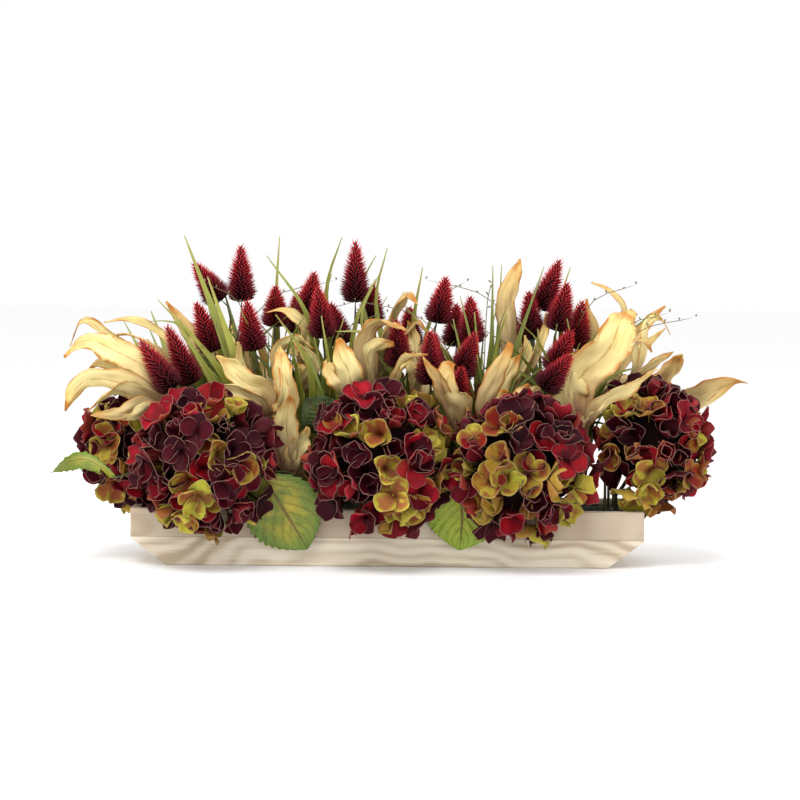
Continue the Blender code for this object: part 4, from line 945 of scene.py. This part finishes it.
# %% Wood
def wood_finish(name, arch, stretch, joint, tone):
    """Wood with rings round the point `arch`, squeezed by `stretch`, and a glue line at height `joint`."""
    finish, recipe = new_finish(name, 0.62, Specular_IOR_Level=0.3)
    place = recipe.place()
    height = recipe.split(place)["Z"]
    upper = recipe.maths("GREATER_THAN", height, joint)
    # the upper strip is another plank, so its pattern is shifted far along the tree
    shift = recipe.add("ShaderNodeCombineXYZ", {"X": recipe.maths("MULTIPLY", upper, 0.37),
                                                "Y": 0.0, "Z": recipe.maths("MULTIPLY", upper, -0.055)})
    moved = recipe.add("ShaderNodeVectorMath", {0: place, 1: shift}, operation="ADD")
    wander = recipe.noise(moved, 9.0, 2.0)
    bent = recipe.add("ShaderNodeVectorMath", {0: moved, 1: [-side for side in arch]}, operation="ADD")
    squeezed = recipe.add("ShaderNodeVectorMath", {0: bent, 1: stretch}, operation="MULTIPLY")
    distance = recipe.add("ShaderNodeVectorMath", {0: squeezed}, output=1, operation="LENGTH")
    run = recipe.maths("MULTIPLY_ADD", wander, 0.045, distance)
    wave = recipe.maths("SINE", recipe.maths("MULTIPLY", run, 560.0))
    broad = recipe.maths("SINE", recipe.maths("MULTIPLY", run, 130.0))
    rings = recipe.maths("MULTIPLY_ADD", wave, 0.30, recipe.maths("MULTIPLY_ADD", broad, 0.28, 0.5))
    streaks = recipe.noise(moved, 240.0, 3.0, stretch=(0.035, 1.0, 1.0))
    grain = recipe.maths("MULTIPLY_ADD", streaks, 0.55, recipe.maths("MULTIPLY", rings, 0.5))
    colour = recipe.ramp(grain, [(0.28, tone[0]), (0.52, tone[1]), (0.76, tone[2])])
    # Above the glue line the wood darkens in broad patches. This is partly the upper plank's own browner
    # tone and partly painted shade of the flower heads that hang over the box.
    upper_tone_and_painted_shade = recipe.maths("MULTIPLY", upper, recipe.spread(recipe.noise(moved, 5.0, 1.0), 0.35, 0.6))
    colour = recipe.mix(recipe.maths("MULTIPLY", upper_tone_and_painted_shade, 0.75), colour, (0.46, 0.355, 0.255, 1.0))
    colour = recipe.effect(blotches, Colour=colour, Scale=16.0, Amount=0.25)
    off_joint = recipe.maths("ABSOLUTE", recipe.maths("SUBTRACT", height, joint))
    line = recipe.spread(off_joint, 0.0003, 0.0009, 0.45, 0.0)
    colour = recipe.mix(line, colour, (0.24, 0.17, 0.11, 1.0))
    recipe.feed(Base_Color=colour, Roughness=recipe.spread(grain, 0.2, 0.8, 0.72, 0.55),
                Normal=recipe.bump(grain, 0.25, 0.0004))
    return finish


WOOD_TONE = ((0.47, 0.375, 0.26), (0.68, 0.58, 0.44), (0.79, 0.71, 0.57))
long_wood = wood_finish("long boards", (0.026, -0.06, -0.012), (0.22, 0.2, 1.0), 0.0305, WOOD_TONE)
short_wood = wood_finish("short boards", (0.0, 0.01, -0.03), (0.6, 0.25, 1.0), -1.0, WOOD_TONE)
for name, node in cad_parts.items():
    if name.startswith("box_"):
        node.data.materials.clear()
        node.data.materials.append(long_wood if name in ("box_front", "box_back") else short_wood)
print("boards:", [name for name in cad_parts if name.startswith("box_")])

# %% [markdown]
# ## Foam under moss
#
# The box is filled with dry foam, which is covered with dark moss. Only a strip of it shows between
# the flowers and the boards. Its top is a grid of heights: two waves of noise make it lumpy, and a few
# thousand curled threads stand out of it.

# %% Moss
moss_finish, recipe = new_finish("moss", 0.9)
patch = recipe.noise(recipe.place(), 180.0)
moss = recipe.ramp(patch, [(0.3, (0.010, 0.011, 0.006)), (0.55, (0.032, 0.034, 0.014)),
                           (0.8, (0.085, 0.075, 0.030))])
shade = recipe.maths("ADD", recipe.number("shade"), 1.0)
recipe.feed(Base_Color=recipe.tint(moss, shade), Normal=recipe.bump(patch, 0.7, 0.002))


def lumps(x, y):
    """Height of the moss over the foam: the sum of crossed waves of three lengths."""
    return (0.0016 * np.sin(61 * x + 1.3 * np.sin(83 * y)) * np.cos(97 * y)
            + 0.0010 * np.sin(210 * x + 2.0) * np.sin(190 * y + 170 * x)
            + 0.0006 * np.sin(520 * x - 310 * y))


foam_low, foam_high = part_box("foam")
ROWS, COLUMNS = 40, 150
SLANT_LENGTH, SLANT_RISE = 0.036, 0.76       # the box's slanted ends
x = np.linspace(foam_low.x, foam_high.x, COLUMNS)
y = np.linspace(foam_low.y, foam_high.y, ROWS)
x, y = np.meshgrid(x, y)
heights = foam_high.z + 0.001 + lumps(x, y)
# the underside follows the slants of the box
level = (foam_high.x - foam_low.x) / 2 - SLANT_LENGTH
floor_z = foam_low.z + np.clip(np.abs(x) - level, 0, None) * SLANT_RISE
moss_points = np.stack([np.stack([x, y, heights], -1), np.stack([x, y, floor_z], -1)]).reshape(-1, 3)
moss_heap = Heap()
moss_heap.add(moss_points, shell_faces(ROWS, COLUMNS), np.zeros((len(moss_points), 2)))

draw = np.random.default_rng(3)
THREADS, THREAD_RADIUS, THREAD_STEPS = 3600, 0.00035, 4
root_x = draw.uniform(foam_low.x + 0.002, foam_high.x - 0.002, THREADS)
root_y = draw.uniform(foam_low.y + 0.002, foam_high.y - 0.002, THREADS)
roots = np.column_stack([root_x, root_y, foam_high.z + lumps(root_x, root_y)])
step = np.linspace(0, 1, THREAD_STEPS)[None, :, None]
lean = draw.normal(0, 0.0035, (THREADS, 1, 3)) * (1, 1, 0) + (0, 0, 0.0035)
curl = draw.normal(0, 0.0025, (THREADS, 1, 3)) * (1, 1, 0.4)
threads = roots[:, None] + lean * step + curl * np.sin(np.pi * step)
moss_heap.add_tubes(threads, np.full(THREAD_STEPS, THREAD_RADIUS), 0, sides=3,
                    shade=draw.uniform(-0.3, 1.2, THREADS))
moss_piece = place_piece("moss_over_foam", moss_heap, [moss_finish], "foam", "foam")
print("moss:", len(moss_piece.data.polygons), "faces")


# %% [markdown]
# ## A hydrangea petal
#
# A petal is almost round, cupped across and bent along its length. On a grid of u (across, -1 to 1)
# and t (from the claw to the tip), its half width follows a sine wave, and the rows stop short towards
# the sides, which rounds the tip without a pole. Rows and columns lie closer near the edge, where the
# outline turns. Its height over the floret is a cup, u squared, plus a bend, t squared, plus a small
# wave round the edge.

# %% Petals of many florets at once
ROW_PLACES = np.array((0.02, 0.22, 0.45, 0.68, 0.88, 1.0))
COLUMN_PLACES = np.array((-1.0, -0.80, -0.45, 0.0, 0.45, 0.80, 1.0))
PETAL_ROWS, PETAL_COLUMNS = len(ROW_PLACES), len(COLUMN_PLACES)
PETAL_THICKNESS = 0.0004
FLORET_HINT = (0.31, 0.17, 0.94)         # any direction that no floret faces


def petals(centre, normal, spin, opening, size, draw):
    """Grids of four petals for each of F florets, as an array (4 F, rows, columns, 3).

    `opening` is the angle between a petal and the floret's plane; 0 is wide open.
    """
    count = len(centre)
    side, other = square_axes(normal, FLORET_HINT)
    angle = spin[:, None] + np.arange(4) * np.pi / 2 + draw.normal(0, 0.12, (count, 4))
    tilt = opening[:, None] + draw.normal(0, 0.16, (count, 4))
    length = size[:, None] * draw.uniform(0.88, 1.06, (count, 4))
    t, u = ROW_PLACES[:, None], COLUMN_PLACES[None, :]
    half_width = 0.50 * np.sin(np.pi * (0.05 + 0.72 * t)) ** 0.8
    reach = 1 - 0.15 * u ** 2
    long = length[..., None, None]
    x, y = u * half_width * long, t * reach * long
    cup = draw.uniform(0.10, 0.38, (count, 4, 1, 1))
    bend = draw.uniform(-0.18, 0.36, (count, 4, 1, 1))
    phase = draw.uniform(0, 2 * np.pi, (count, 4, 1, 1))
    wave = 0.030 * np.sin(4.5 * u + phase) * t ** 2
    z = long * (cup * u ** 2 * np.sin(np.pi * 0.55 * t) + bend * t ** 2 + wave)
    z = z + np.where(np.arange(4) % 2, 0.0008, -0.0002)[None, :, None, None]
    outward = np.cos(angle)[..., None] * side[:, None] + np.sin(angle)[..., None] * other[:, None]
    sideways = np.cross(outward, normal[:, None])
    lift = normal[:, None] * np.ones((1, 4, 1))
    ahead = np.cos(tilt)[..., None] * outward + np.sin(tilt)[..., None] * lift
    facing = np.cos(tilt)[..., None] * lift - np.sin(tilt)[..., None] * outward
    grid = (centre[:, None, None, None] + y[..., None] * ahead[:, :, None, None]
            + x[..., None] * sideways[:, :, None, None] + z[..., None] * facing[:, :, None, None])
    return grid.reshape(count * 4, PETAL_ROWS, PETAL_COLUMNS, 3)


# %% [markdown]
# ## A hydrangea head
#
# A head is a ball of florets that hide its stalks. Golden-angle steps spread them evenly. Each one is
# turned a little out of its place, opened more or less and set nearer or further from the middle, so
# that petals overlap in all directions. Yellow-green florets keep together on one side of a head.

# %% Heads
FLORETS, HEAD_SPREAD, CORE_SHARE = 74, 122, 0.62
PETAL_LENGTHS = (0.0210, 0.0255)
HALF_SHUT, SHUT_ANGLES, OPEN_ANGLES = 0.30, (45, 68), (6, 42)
GREEN_FROM, GREEN_KINDS = 0.74, (0.70, 1.0)      # the greenest quarter of the florets
RED_SHARE, RED_KINDS, PLUM_KINDS = 0.50, (0.38, 0.56), (0.0, 0.30)
BUD_PLACES = np.array((0.0, 0.5, 0.93, 0.97, 1.0, 1.02))
BUD_RADII = (0.0009, 0.0009, 0.0010, 0.0022, 0.0024, 0.0012)
GREEN_SIDES = {                  # the side of each head on which the yellow-green florets are
    "hydrangea_1": (0.5, -0.6, -0.2), "hydrangea_2": (0.35, -0.9, -0.1),
    "hydrangea_3": (0.8, -0.5, -0.1), "hydrangea_4": (0.1, -0.9, -0.2),
    "hydrangea_5": (-0.3, -0.8, -0.5), "hydrangea_6": (-0.5, 0.7, 0.2),
    "hydrangea_7": (0.4, 0.8, 0.1), "hydrangea_8": (-0.2, 0.9, -0.2),
}


def lumpy_ball(centre, radii, rings=14, sides=24):
    """Points, faces and uv of a head's core: a ball, swollen by crossed sine waves."""
    around, up = np.meshgrid(np.linspace(0, 2 * np.pi, sides + 1)[:-1],
                             np.linspace(0.02, np.pi - 0.02, rings))
    ball = np.stack([np.sin(up) * np.cos(around), np.sin(up) * np.sin(around), np.cos(up)], -1)
    ball = ball * (CORE_SHARE * (1 + 0.06 * np.sin(7 * around) * np.sin(5 * up)))[..., None]
    faces = ring_faces(rings, sides)[:, ::-1]
    return (ball * radii + centre).reshape(-1, 3), faces, np.zeros((rings * sides, 2))


def hydrangea(name, number):
    """A fine head: florets of four cloth petals with a bud, on stalks round a near-black core, which is
    painted shade inside the head.
    """
    root, centre, radii, facing = HEADS[name]
    draw = np.random.default_rng(1000 + number)
    aim = unit(head_directions(facing, FLORETS, HEAD_SPREAD) + draw.normal(0, 0.07, (FLORETS, 3)))
    normal = unit(unit(aim / radii) + draw.normal(0, 0.36, (FLORETS, 3)))
    opening = np.radians(np.where(draw.random(FLORETS) < HALF_SHUT, draw.uniform(*SHUT_ANGLES, FLORETS),
                                  draw.uniform(*OPEN_ANGLES, FLORETS)))
    size = draw.uniform(*PETAL_LENGTHS, FLORETS)
    layer = np.where(np.arange(FLORETS) % 3 == 1, 0.008, 0.0)
    depth = size * np.sin(opening) * 0.85 + draw.uniform(0.0, 0.008, FLORETS) + layer
    place = centre + aim * (radii - depth[:, None])
    greenness = aim @ unit(np.array(GREEN_SIDES[name])) + draw.normal(0, 0.75, FLORETS)
    order = np.argsort(np.argsort(greenness)) / FLORETS
    kind = np.where(order > GREEN_FROM, draw.uniform(*GREEN_KINDS, FLORETS),
                    np.where(draw.random(FLORETS) < RED_SHARE, draw.uniform(*RED_KINDS, FLORETS),
                             draw.uniform(*PLUM_KINDS, FLORETS)))
    grids = petals(place, normal, draw.uniform(0, np.pi, FLORETS), opening, size, draw)
    per_petal = np.repeat(kind, 4) + draw.normal(0, 0.06, FLORETS * 4)
    per_petal = per_petal - np.where(draw.random(FLORETS * 4) < 0.16, 0.22, 0.0)
    heap = Heap()
    shade = draw.uniform(-0.20, 0.30, FLORETS * 4)
    heap.add_sheets(grids, PETAL_THICKNESS, kind=per_petal, shade=shade)
    # stalks from the core, which end in a small bud between the petals
    t = BUD_PLACES[None, :, None]
    stalks = (centre + aim * radii * 0.3)[:, None] * (1 - t) + place[:, None] * t
    heap.add_tubes(stalks, BUD_RADII, 1, sides=6, kind=kind)
    # the core, at kind 0: near black, painted shade inside the head
    heap.add(*lumpy_ball(centre, radii), 1, kind=0.0, shade=-0.6)
    stem = head_stem(root, centre)
    heap.add_tubes(stem[None], np.full(len(stem), STEM_RADIUS), 2, sides=8, kind=0.4)
    return place_piece(f"{name}_petals", heap, [petal_finish, bud_and_core_shade_finish, stalk_finish], "hydrangea", name)


print("petal faces:", (PETAL_ROWS - 1) * (PETAL_COLUMNS - 1) * 2 + 2 * (PETAL_ROWS + PETAL_COLUMNS - 2))

# %% [markdown]
# ## Foxtails
#
# A foxtail is a cone of fine bristles. Their roots follow a golden-angle spiral up a slim core. Each
# bristle leaves it outwards and bends up towards the tip, and they shorten with the height, which
# gives the outline. A bristle is a three-sided spike of ten triangles, since there are hundreds.

# %% Bristles
BRISTLES, ROOT_RADIUS, MIDDLE_RADIUS = 340, 0.0014, 0.00095
GOLDEN_ANGLE = 2.39996
SPIKE_RADIUS, SPIKE_LEAN = 0.0155, 15
SPIKE_HINT = (0.2, 1.0, 0.1)         # any direction that no foxtail points along


def bristles(base, tip, radius, draw):
    """Points, faces, uv and height on the foxtail of its bristles.

    A bristle has three points at its root, three at its middle and one at its tip.
    """
    along = unit(tip - base)
    side, other = square_axes(along, SPIKE_HINT)
    number = (np.arange(BRISTLES) + 0.5) / BRISTLES
    s = 1 - (1 - number) ** 0.62 * 0.99
    angle = np.arange(BRISTLES) * GOLDEN_ANGLE + draw.normal(0, 0.06, BRISTLES)
    outward = np.cos(angle)[:, None] * side + np.sin(angle)[:, None] * other
    length = np.linalg.norm(tip - base)
    outline = radius * 1.18 * (1 - s) ** 0.66 * np.minimum(1, 0.66 + 2.2 * s) + 0.0016
    reach = outline * draw.uniform(0.90, 1.03, BRISTLES)
    rise = (0.040 + 0.06 * s) * length * draw.uniform(0.85, 1.15, BRISTLES)
    root = base + (s * length * 0.94)[:, None] * along + (reach * 0.15)[:, None] * outward
    middle = root + (reach * 0.52)[:, None] * outward + (rise * 0.35)[:, None] * along
    end = root + (reach * 0.94)[:, None] * outward + rise[:, None] * along
    around = np.cross(along, outward)
    corners = np.array([(1.0, 0.0), (-0.5, 0.87), (-0.5, -0.87)])
    ring = corners[None, :, :1] * around[:, None] + corners[None, :, 1:] * along
    points = np.concatenate([root[:, None] + ring * ROOT_RADIUS, middle[:, None] + ring * MIDDLE_RADIUS,
                             end[:, None]], axis=1)
    one = np.array([(0, 1, 4), (0, 4, 3), (1, 2, 5), (1, 5, 4), (2, 0, 3), (2, 3, 5),
                    (3, 4, 6), (4, 5, 6), (5, 3, 6), (2, 1, 0)])
    faces = (one[None] + (np.arange(BRISTLES) * 7)[:, None, None]).reshape(-1, 3)
    uv = np.array([(0, 0), (0.5, 0), (1, 0), (0, 0.5), (0.5, 0.5), (1, 0.5), (0.5, 1)])
    return points.reshape(-1, 3), faces, np.tile(uv, (BRISTLES, 1)), np.repeat(s, 7)


# %% Sprays of foxtails
CORE_SWELL, CORE_SIDES = np.array((0.4, 0.75, 0.8, 0.75, 0.65, 0.5, 0.3, 0.1)), 9


def wire_stem(heap, joint, lift, kind, swell=(1, 1, 1, 1)):
    """A wire stem from the bottom of its hole to `lift` over the knot, made thicker by `swell`."""
    path = np.linspace((joint[0], joint[1], HOLE_BOTTOM + GAP), joint + (0, 0, lift), len(swell))
    heap.add_tubes(path[None], np.array(swell) * STEM_RADIUS * 0.8, 1, sides=8, kind=kind)


def foxtails(name, number):
    """A spray: bristly foxtails on thin wire stalks that part a little above the foam."""
    root, spikes = FOXTAILS[name]
    joint = np.array((*root, SPRAY_KNOT))
    heap, draw = Heap(), np.random.default_rng(2000 + number)
    for index, (tries, tip, lean, length) in enumerate(spikes):
        sway, share = pushed(number, index, tries)
        turn = math.radians(lean)
        along = unit(np.array((math.sin(turn), SPIKE_LEAN * sway[1], math.cos(turn))))
        top, radius = tip + sway, SPIKE_RADIUS * share
        base = top - along * length * share
        halfway = 0.5 * (joint + base) - 0.1 * (base - joint) * (1, 1, -1)
        way = [joint, halfway, base - along * 0.02, base + along * 0.008]
        tilt = draw.uniform(-0.12, 0.12)
        points, faces, uv, height = bristles(base, top, radius, draw)
        heap.add(points, faces, uv, 0, kind=np.clip(height + tilt, 0, 1), shade=draw.uniform(-0.14, 0.15))
        core = base + (top - base) * np.linspace(0, 0.97, len(CORE_SWELL))[:, None]
        points, faces, uv = tubes(core[None], CORE_SWELL * radius * 0.52, sides=CORE_SIDES)
        height = np.repeat(np.linspace(0, 1, len(CORE_SWELL)), CORE_SIDES)
        # v is 0 all over the core, so the core takes the bristles' painted root shade.
        heap.add(points, faces, uv * (1, 0), 0, kind=height * 0.8)
        heap.add_tubes(smooth_path(way, 14)[None], np.full(14, THIN_RADIUS), 1, kind=0.15)
    wire_stem(heap, joint, 0.0, 0.1)
    return place_piece(f"{name}_bristles", heap, [bristle_finish, stalk_finish], "foxtail", name)


print("foxtails have", BRISTLES, "bristles each")

# %% [markdown]
# ## Husk leaves
#
# A dry husk leaf is a ribbon that is rolled up, creased and crushed. Its cross-section is an arc: for
# an angle a, the point v lies at half width * sin(a v) / a sideways and half width * (1 - cos(a v)) / a
# over the ribbon's plane. Creases and dents, absolute values of sine waves, are added to that height,
# and the tip bends over. Its edge is torn a little: two sine waves widen and narrow it.

# %% Husk leaves
HUSK_ROWS, HUSK_COLUMNS = 37, 13
HUSK_THICKNESS, HUSK_SPREAD = 0.0006, 0.12


def husk_leaf(line, width, roll, draw):
    """Grid of a fine husk leaf along the smooth middle line."""
    t = np.linspace(0, 1, HUSK_ROWS)[:, None]
    v = np.linspace(-1, 1, HUSK_COLUMNS)[None]
    path = smooth_path(line, HUSK_ROWS)
    side, face = ribbon_axes(path, roll)
    sway = np.sin(np.linspace(0, draw.uniform(6, 11), HUSK_ROWS) + draw.uniform(0, 6)) * t[:, 0]
    path = path + side * sway[:, None] * width * 0.17 + face * np.roll(sway, 6)[:, None] * width * 0.14
    twist = np.radians(draw.uniform(-60, 60)) * np.clip(t - 0.35, 0, 1) ** 1.3 * 1.6
    turned = side * np.cos(twist) + face * np.sin(twist)
    face = face * np.cos(twist) - side * np.sin(twist)
    phase = draw.uniform(0, 2 * np.pi, 7)
    # the outline: torn edges and a pointed tip that leans to one side
    lean = 0.07 * draw.uniform(-1, 1) * v
    narrow = 1 - 0.97 * np.clip((t - 0.60 + lean) / 0.40, 0, 1) ** draw.uniform(1.8, 3.0)
    tears = 0.13 * np.sin(17 * t + phase[0] + np.sign(v)) + 0.09 * np.sin(41 * t + phase[1])
    torn = 1 + tears * np.abs(v) * t
    broad = 0.30 + 0.70 * np.sin(np.pi / 2 * np.minimum(t / 0.62, 1)) ** 1.3
    half = width * 0.58 * broad * torn * narrow
    # the cross-section: an arc that is rolled up most at two thirds of the length
    arc = np.radians(draw.uniform(12, 92)) * draw.choice((-1, 1)) * (0.25 + 0.75 * np.sin(np.pi * t ** 1.2))
    arc = arc * (1 + 0.35 * np.sin(6 * t + phase[2]) + 0.25 * np.sign(v) * np.sin(9 * t + phase[3]))
    x = half * np.sin(arc * v) / arc
    z = half * (1 - np.cos(arc * v)) / arc
    # creases along the leaf, and dents where it was crushed
    crease = 0.16 * np.abs(np.sin(3.1 * v + phase[4]))
    dents = (0.32 * np.abs(np.sin(7.5 * t + 2.2 * v + phase[5])) + 0.22 * np.sin(19 * t + phase[6]) * v
             + 0.20 * np.abs(np.sin(12 * t - 3.2 * v + phase[3])))
    z = z + width * 0.5 * broad * (crease + dents * t) * narrow
    # the last part of the leaf bends over
    bend = draw.uniform(-1.4, 2.4) * np.clip(t - 0.70, 0, 1) ** 2 * width * 4.0
    z = z + bend
    return path[:, None] + x[..., None] * turned[:, None] + z[..., None] * face[:, None]


def swung(line, draw, spread, share):
    """The line made shorter and swung about its foot: each point moves by its height over the foot."""
    line = np.array(line)
    away = line - line[0]
    away = away * share + np.abs(away[:, 2:]) * draw.normal(0, spread, 3) * (1.0, 1.0, 0.2)
    return line[0] + away


def husks(name, number):
    """A cluster of husk leaves that part at a knot on top of their wire stem, drawn in pairs."""
    root, height, leaves = HUSKS[name]
    joint = np.array((*root, height))
    heap, draw = Heap(), np.random.default_rng(3000 + number)
    for index, (tries, width, roll, points) in enumerate(leaves):
        sway, share = pushed(number, index, tries)
        line, width = bent_line(joint, points, sway, share), width * share
        drawn = [husk_leaf(line, width, roll, draw)]
        beside = swung(line, draw, HUSK_SPREAD, draw.uniform(0.50, 0.86))
        drawn.append(husk_leaf(beside, width * 0.9, roll + draw.uniform(-50, 50), draw))
        for grid in drawn:
            heap.add_sheets(grid[None], HUSK_THICKNESS, kind=draw.uniform(0, 1) ** 2.2,
                            shade=draw.uniform(-0.16, 0.10))
    wire_stem(heap, joint, 0.004, 0.8, (1, 1, 1, 1, 1.2, 1.6))
    return place_piece(f"{name}_leaves", heap, [husk_finish, stalk_finish], "husk", name)


# %% [markdown]
# ## Grass
#
# A blade of grass is a ribbon folded along its keel, so that one half is always lighter than the
# other. The keel lies behind the edges by a share of the width, and the blade narrows to a fine tip.
# Each tall blade has shorter ones beside it: the same middle line, swung a little round the foot of the
# tuft. Short blades spread out round the foot and fill the tuft's lower part. Two thin twigs arch over
# them, with small seeds in pairs along their upper half.

# %% Blades
BLADE_ROWS, BLADE_COLUMNS = 19, 5
GRASS_ROLL, GRASS_KEEL = 30, 0.0016
COMPANIONS, SHORT_BLADES = 3, 14
BLADE_THICKNESS, BLADE_SPREAD = 0.0005, 0.11


def blade(line, width, roll):
    """Grid of one folded blade: even for two thirds of its length, then down to a fine tip."""
    path = smooth_path(line, BLADE_ROWS)
    side, face = ribbon_axes(path, roll)
    t, v = np.linspace(0, 1, BLADE_ROWS), np.linspace(-0.5, 0.5, BLADE_COLUMNS)
    narrow = (0.55 + 0.45 * np.sin(np.pi * np.clip(t / 0.8, 0, 1))) * (1 - 0.9 * t ** 3)
    spread = (width * narrow)[:, None, None] * v[None, :, None]
    keel = GRASS_KEEL * (1 - 2 * np.abs(v)) * (1 - 0.7 * t[:, None] ** 3)
    return (path[:, None, :] + spread * side[:, None, :] - face[:, None] * keel[..., None])[None]


# %% Twigs with seeds
TWIGS, SEEDS, SEED_LENGTH = 2, 10, 0.0055


def twig(foot, draw):
    """Paths and radii of an arched twig and of its seeds, which leave it to its left and right in turn."""
    turn, tall = draw.uniform(0, 2 * np.pi), draw.uniform(0.17, 0.25)
    out, up = np.array((math.cos(turn), 0.5 * math.sin(turn), 0.0)) * tall, np.array((0.0, 0.0, tall))
    stem = smooth_path([foot, foot + 0.5 * up + 0.08 * out, foot + 0.85 * up + 0.28 * out,
                        foot + 0.95 * up + 0.62 * out], 16)
    place = stem[np.linspace(7, 15, SEEDS).astype(int)]
    side = unit(np.cross(out, up)) * np.where(np.arange(SEEDS) % 2, 1.0, -1.0)[:, None]
    aim = unit(side + (0, 0, 0.9) + draw.normal(0, 0.35, (SEEDS, 3))) * SEED_LENGTH
    seeds = place[:, None] + aim[:, None] * np.array([0.0, 0.4, 0.7, 1.0])[:, None]
    return stem[None], np.linspace(0.0008, 0.0004, 16), seeds, np.array([0.0004, 0.0010, 0.0008, 0.0004])


# %% Tufts of grass
def grass(name, number):
    """A tuft: folded blades of grass that part at a knot a little above the foam."""
    root, blades = GRASS[name]
    joint = np.array((*root, TUFT_KNOT))
    heap, draw = Heap(), np.random.default_rng(4000 + number)
    for index, (tries, width, points) in enumerate(blades):
        line = bent_line(joint, points, *pushed(number, index, tries))
        heap.add_sheets(blade(line, width * 1.8, GRASS_ROLL), BLADE_THICKNESS, kind=draw.uniform(0, 1))
        for companion in range(COMPANIONS):
            beside = swung(line, draw, BLADE_SPREAD, draw.uniform(0.55, 0.93))
            grid = blade(beside, width * draw.uniform(1.2, 2.0), draw.uniform(-50, 60))
            heap.add_sheets(grid, BLADE_THICKNESS, kind=draw.uniform(0, 1))
    for index in range(SHORT_BLADES):
        turn, lean, tall = draw.uniform(0, 2 * np.pi), draw.uniform(0.05, 0.45), draw.uniform(0.11, 0.21)
        out = np.array((math.cos(turn), 0.6 * math.sin(turn), 0.0)) * lean * tall
        up = np.array((0.0, 0.0, tall))
        line = np.array([joint, joint + 0.5 * up + 0.3 * out, joint + 0.85 * up + 0.8 * out,
                         joint + up + 1.3 * out])
        grid = blade(line, draw.uniform(0.008, 0.013), draw.uniform(-60, 60))
        heap.add_sheets(grid, BLADE_THICKNESS, reach=0.6, kind=draw.uniform(0, 0.8))
    for index in range(TWIGS):
        stem, stem_radii, seeds, seed_radii = twig(joint, draw)
        heap.add_tubes(stem, stem_radii, 1, kind=0.75)
        heap.add_tubes(seeds, seed_radii, 1, kind=0.75)
    wire_stem(heap, joint, 0.003, 0.3)
    return place_piece(f"{name}_blades", heap, [grass_finish, stalk_finish], "grass", name)


# %% [markdown]
# ## Green leaves
#
# A hydrangea leaf is broad, pointed and saw-toothed. Its half width is a power of a sine wave along
# the midrib, times one plus a saw wave for the teeth. It is hollow along the midrib and swells between
# the side veins.

# %% Green leaves
LEAF_ROWS, LEAF_COLUMNS, LEAF_THICKNESS = 97, 17, 0.0005
LEAF_HOLLOW, TEETH, SWELLS = 0.06, 14, 9
LEAF_KINDS = {"leaf_1": 0.5, "leaf_2": 0.95, "leaf_3": 0.75, "leaf_4": 0.05, "leaf_5": 0.6, "leaf_6": 0.8}


def fine_leaf(line, width, roll):
    """Grid of a fine leaf: saw-toothed outline, hollow midrib, swellings between the side veins."""
    t = np.linspace(0, 1, LEAF_ROWS)
    v = np.linspace(-1, 1, LEAF_COLUMNS)
    path = smooth_path(line, LEAF_ROWS)
    side, face = ribbon_axes(path, roll)
    half = width / 2 * (np.sin(np.pi * t ** 0.8) ** 0.85 + 0.012)
    saw = (t * TEETH) % 1
    half = half * (1 + 0.12 * (saw - 0.5))
    x = half[:, None] * v
    belly = np.sin(np.pi * t)[:, None]      # 0 at both ends of the leaf, 1 halfway
    # the outer part of each row leans towards the tip, as the veins do
    forward = 0.10 * width * belly * v ** 2
    along = unit(np.gradient(path, axis=0))
    swell = 0.0010 * np.sin(2 * np.pi * SWELLS * (t[:, None] - 0.28 * np.abs(v))) * np.abs(v) * belly
    z = LEAF_HOLLOW * width * belly * (np.abs(v) ** 1.2 - 1) + swell
    z = z + 0.03 * width * np.sin(7 * t)[:, None] * v
    return (path[:, None] + x[..., None] * side[:, None] + forward[..., None] * along[:, None]
            + z[..., None] * face[:, None])


def green_leaf(name, number):
    """One green leaf, hollow along its midrib, on a stalk from the top of its wire stem."""
    root, height, width, roll, line = LEAVES[name]
    joint = np.array((*root, height))
    halfway = 0.5 * (joint + line[0]) + (0, 0, 0.012)
    way = [joint, halfway, line[0], line[0] + 0.15 * (line[1] - line[0])]
    heap = Heap()
    heap.add_sheets(fine_leaf(line, width, roll)[None], LEAF_THICKNESS, kind=LEAF_KINDS[name])
    heap.add_tubes(smooth_path(way, 14)[None], np.full(14, THIN_RADIUS * 1.2), 1, sides=7, kind=0.5)
    wire_stem(heap, joint, 0.001, 0.4)
    return place_piece(f"{name}_blade", heap, [leaf_finish, stalk_finish], "leaf", name)


# %% [markdown]
# ## Growing everything in order
#
# Green leaves and heads come first, then foxtails, husks and grass. The number of a piece in this
# order seeds its random draws.

# %% Grow
number = 0
for names, grow in ((LEAVES, green_leaf), (HEADS, hydrangea), (FOXTAILS, foxtails), (HUSKS, husks),
                    (GRASS, grass)):
    for name in names:
        number += 1
        piece = grow(name, number)
        print(piece.name, len(piece.data.polygons), "faces")
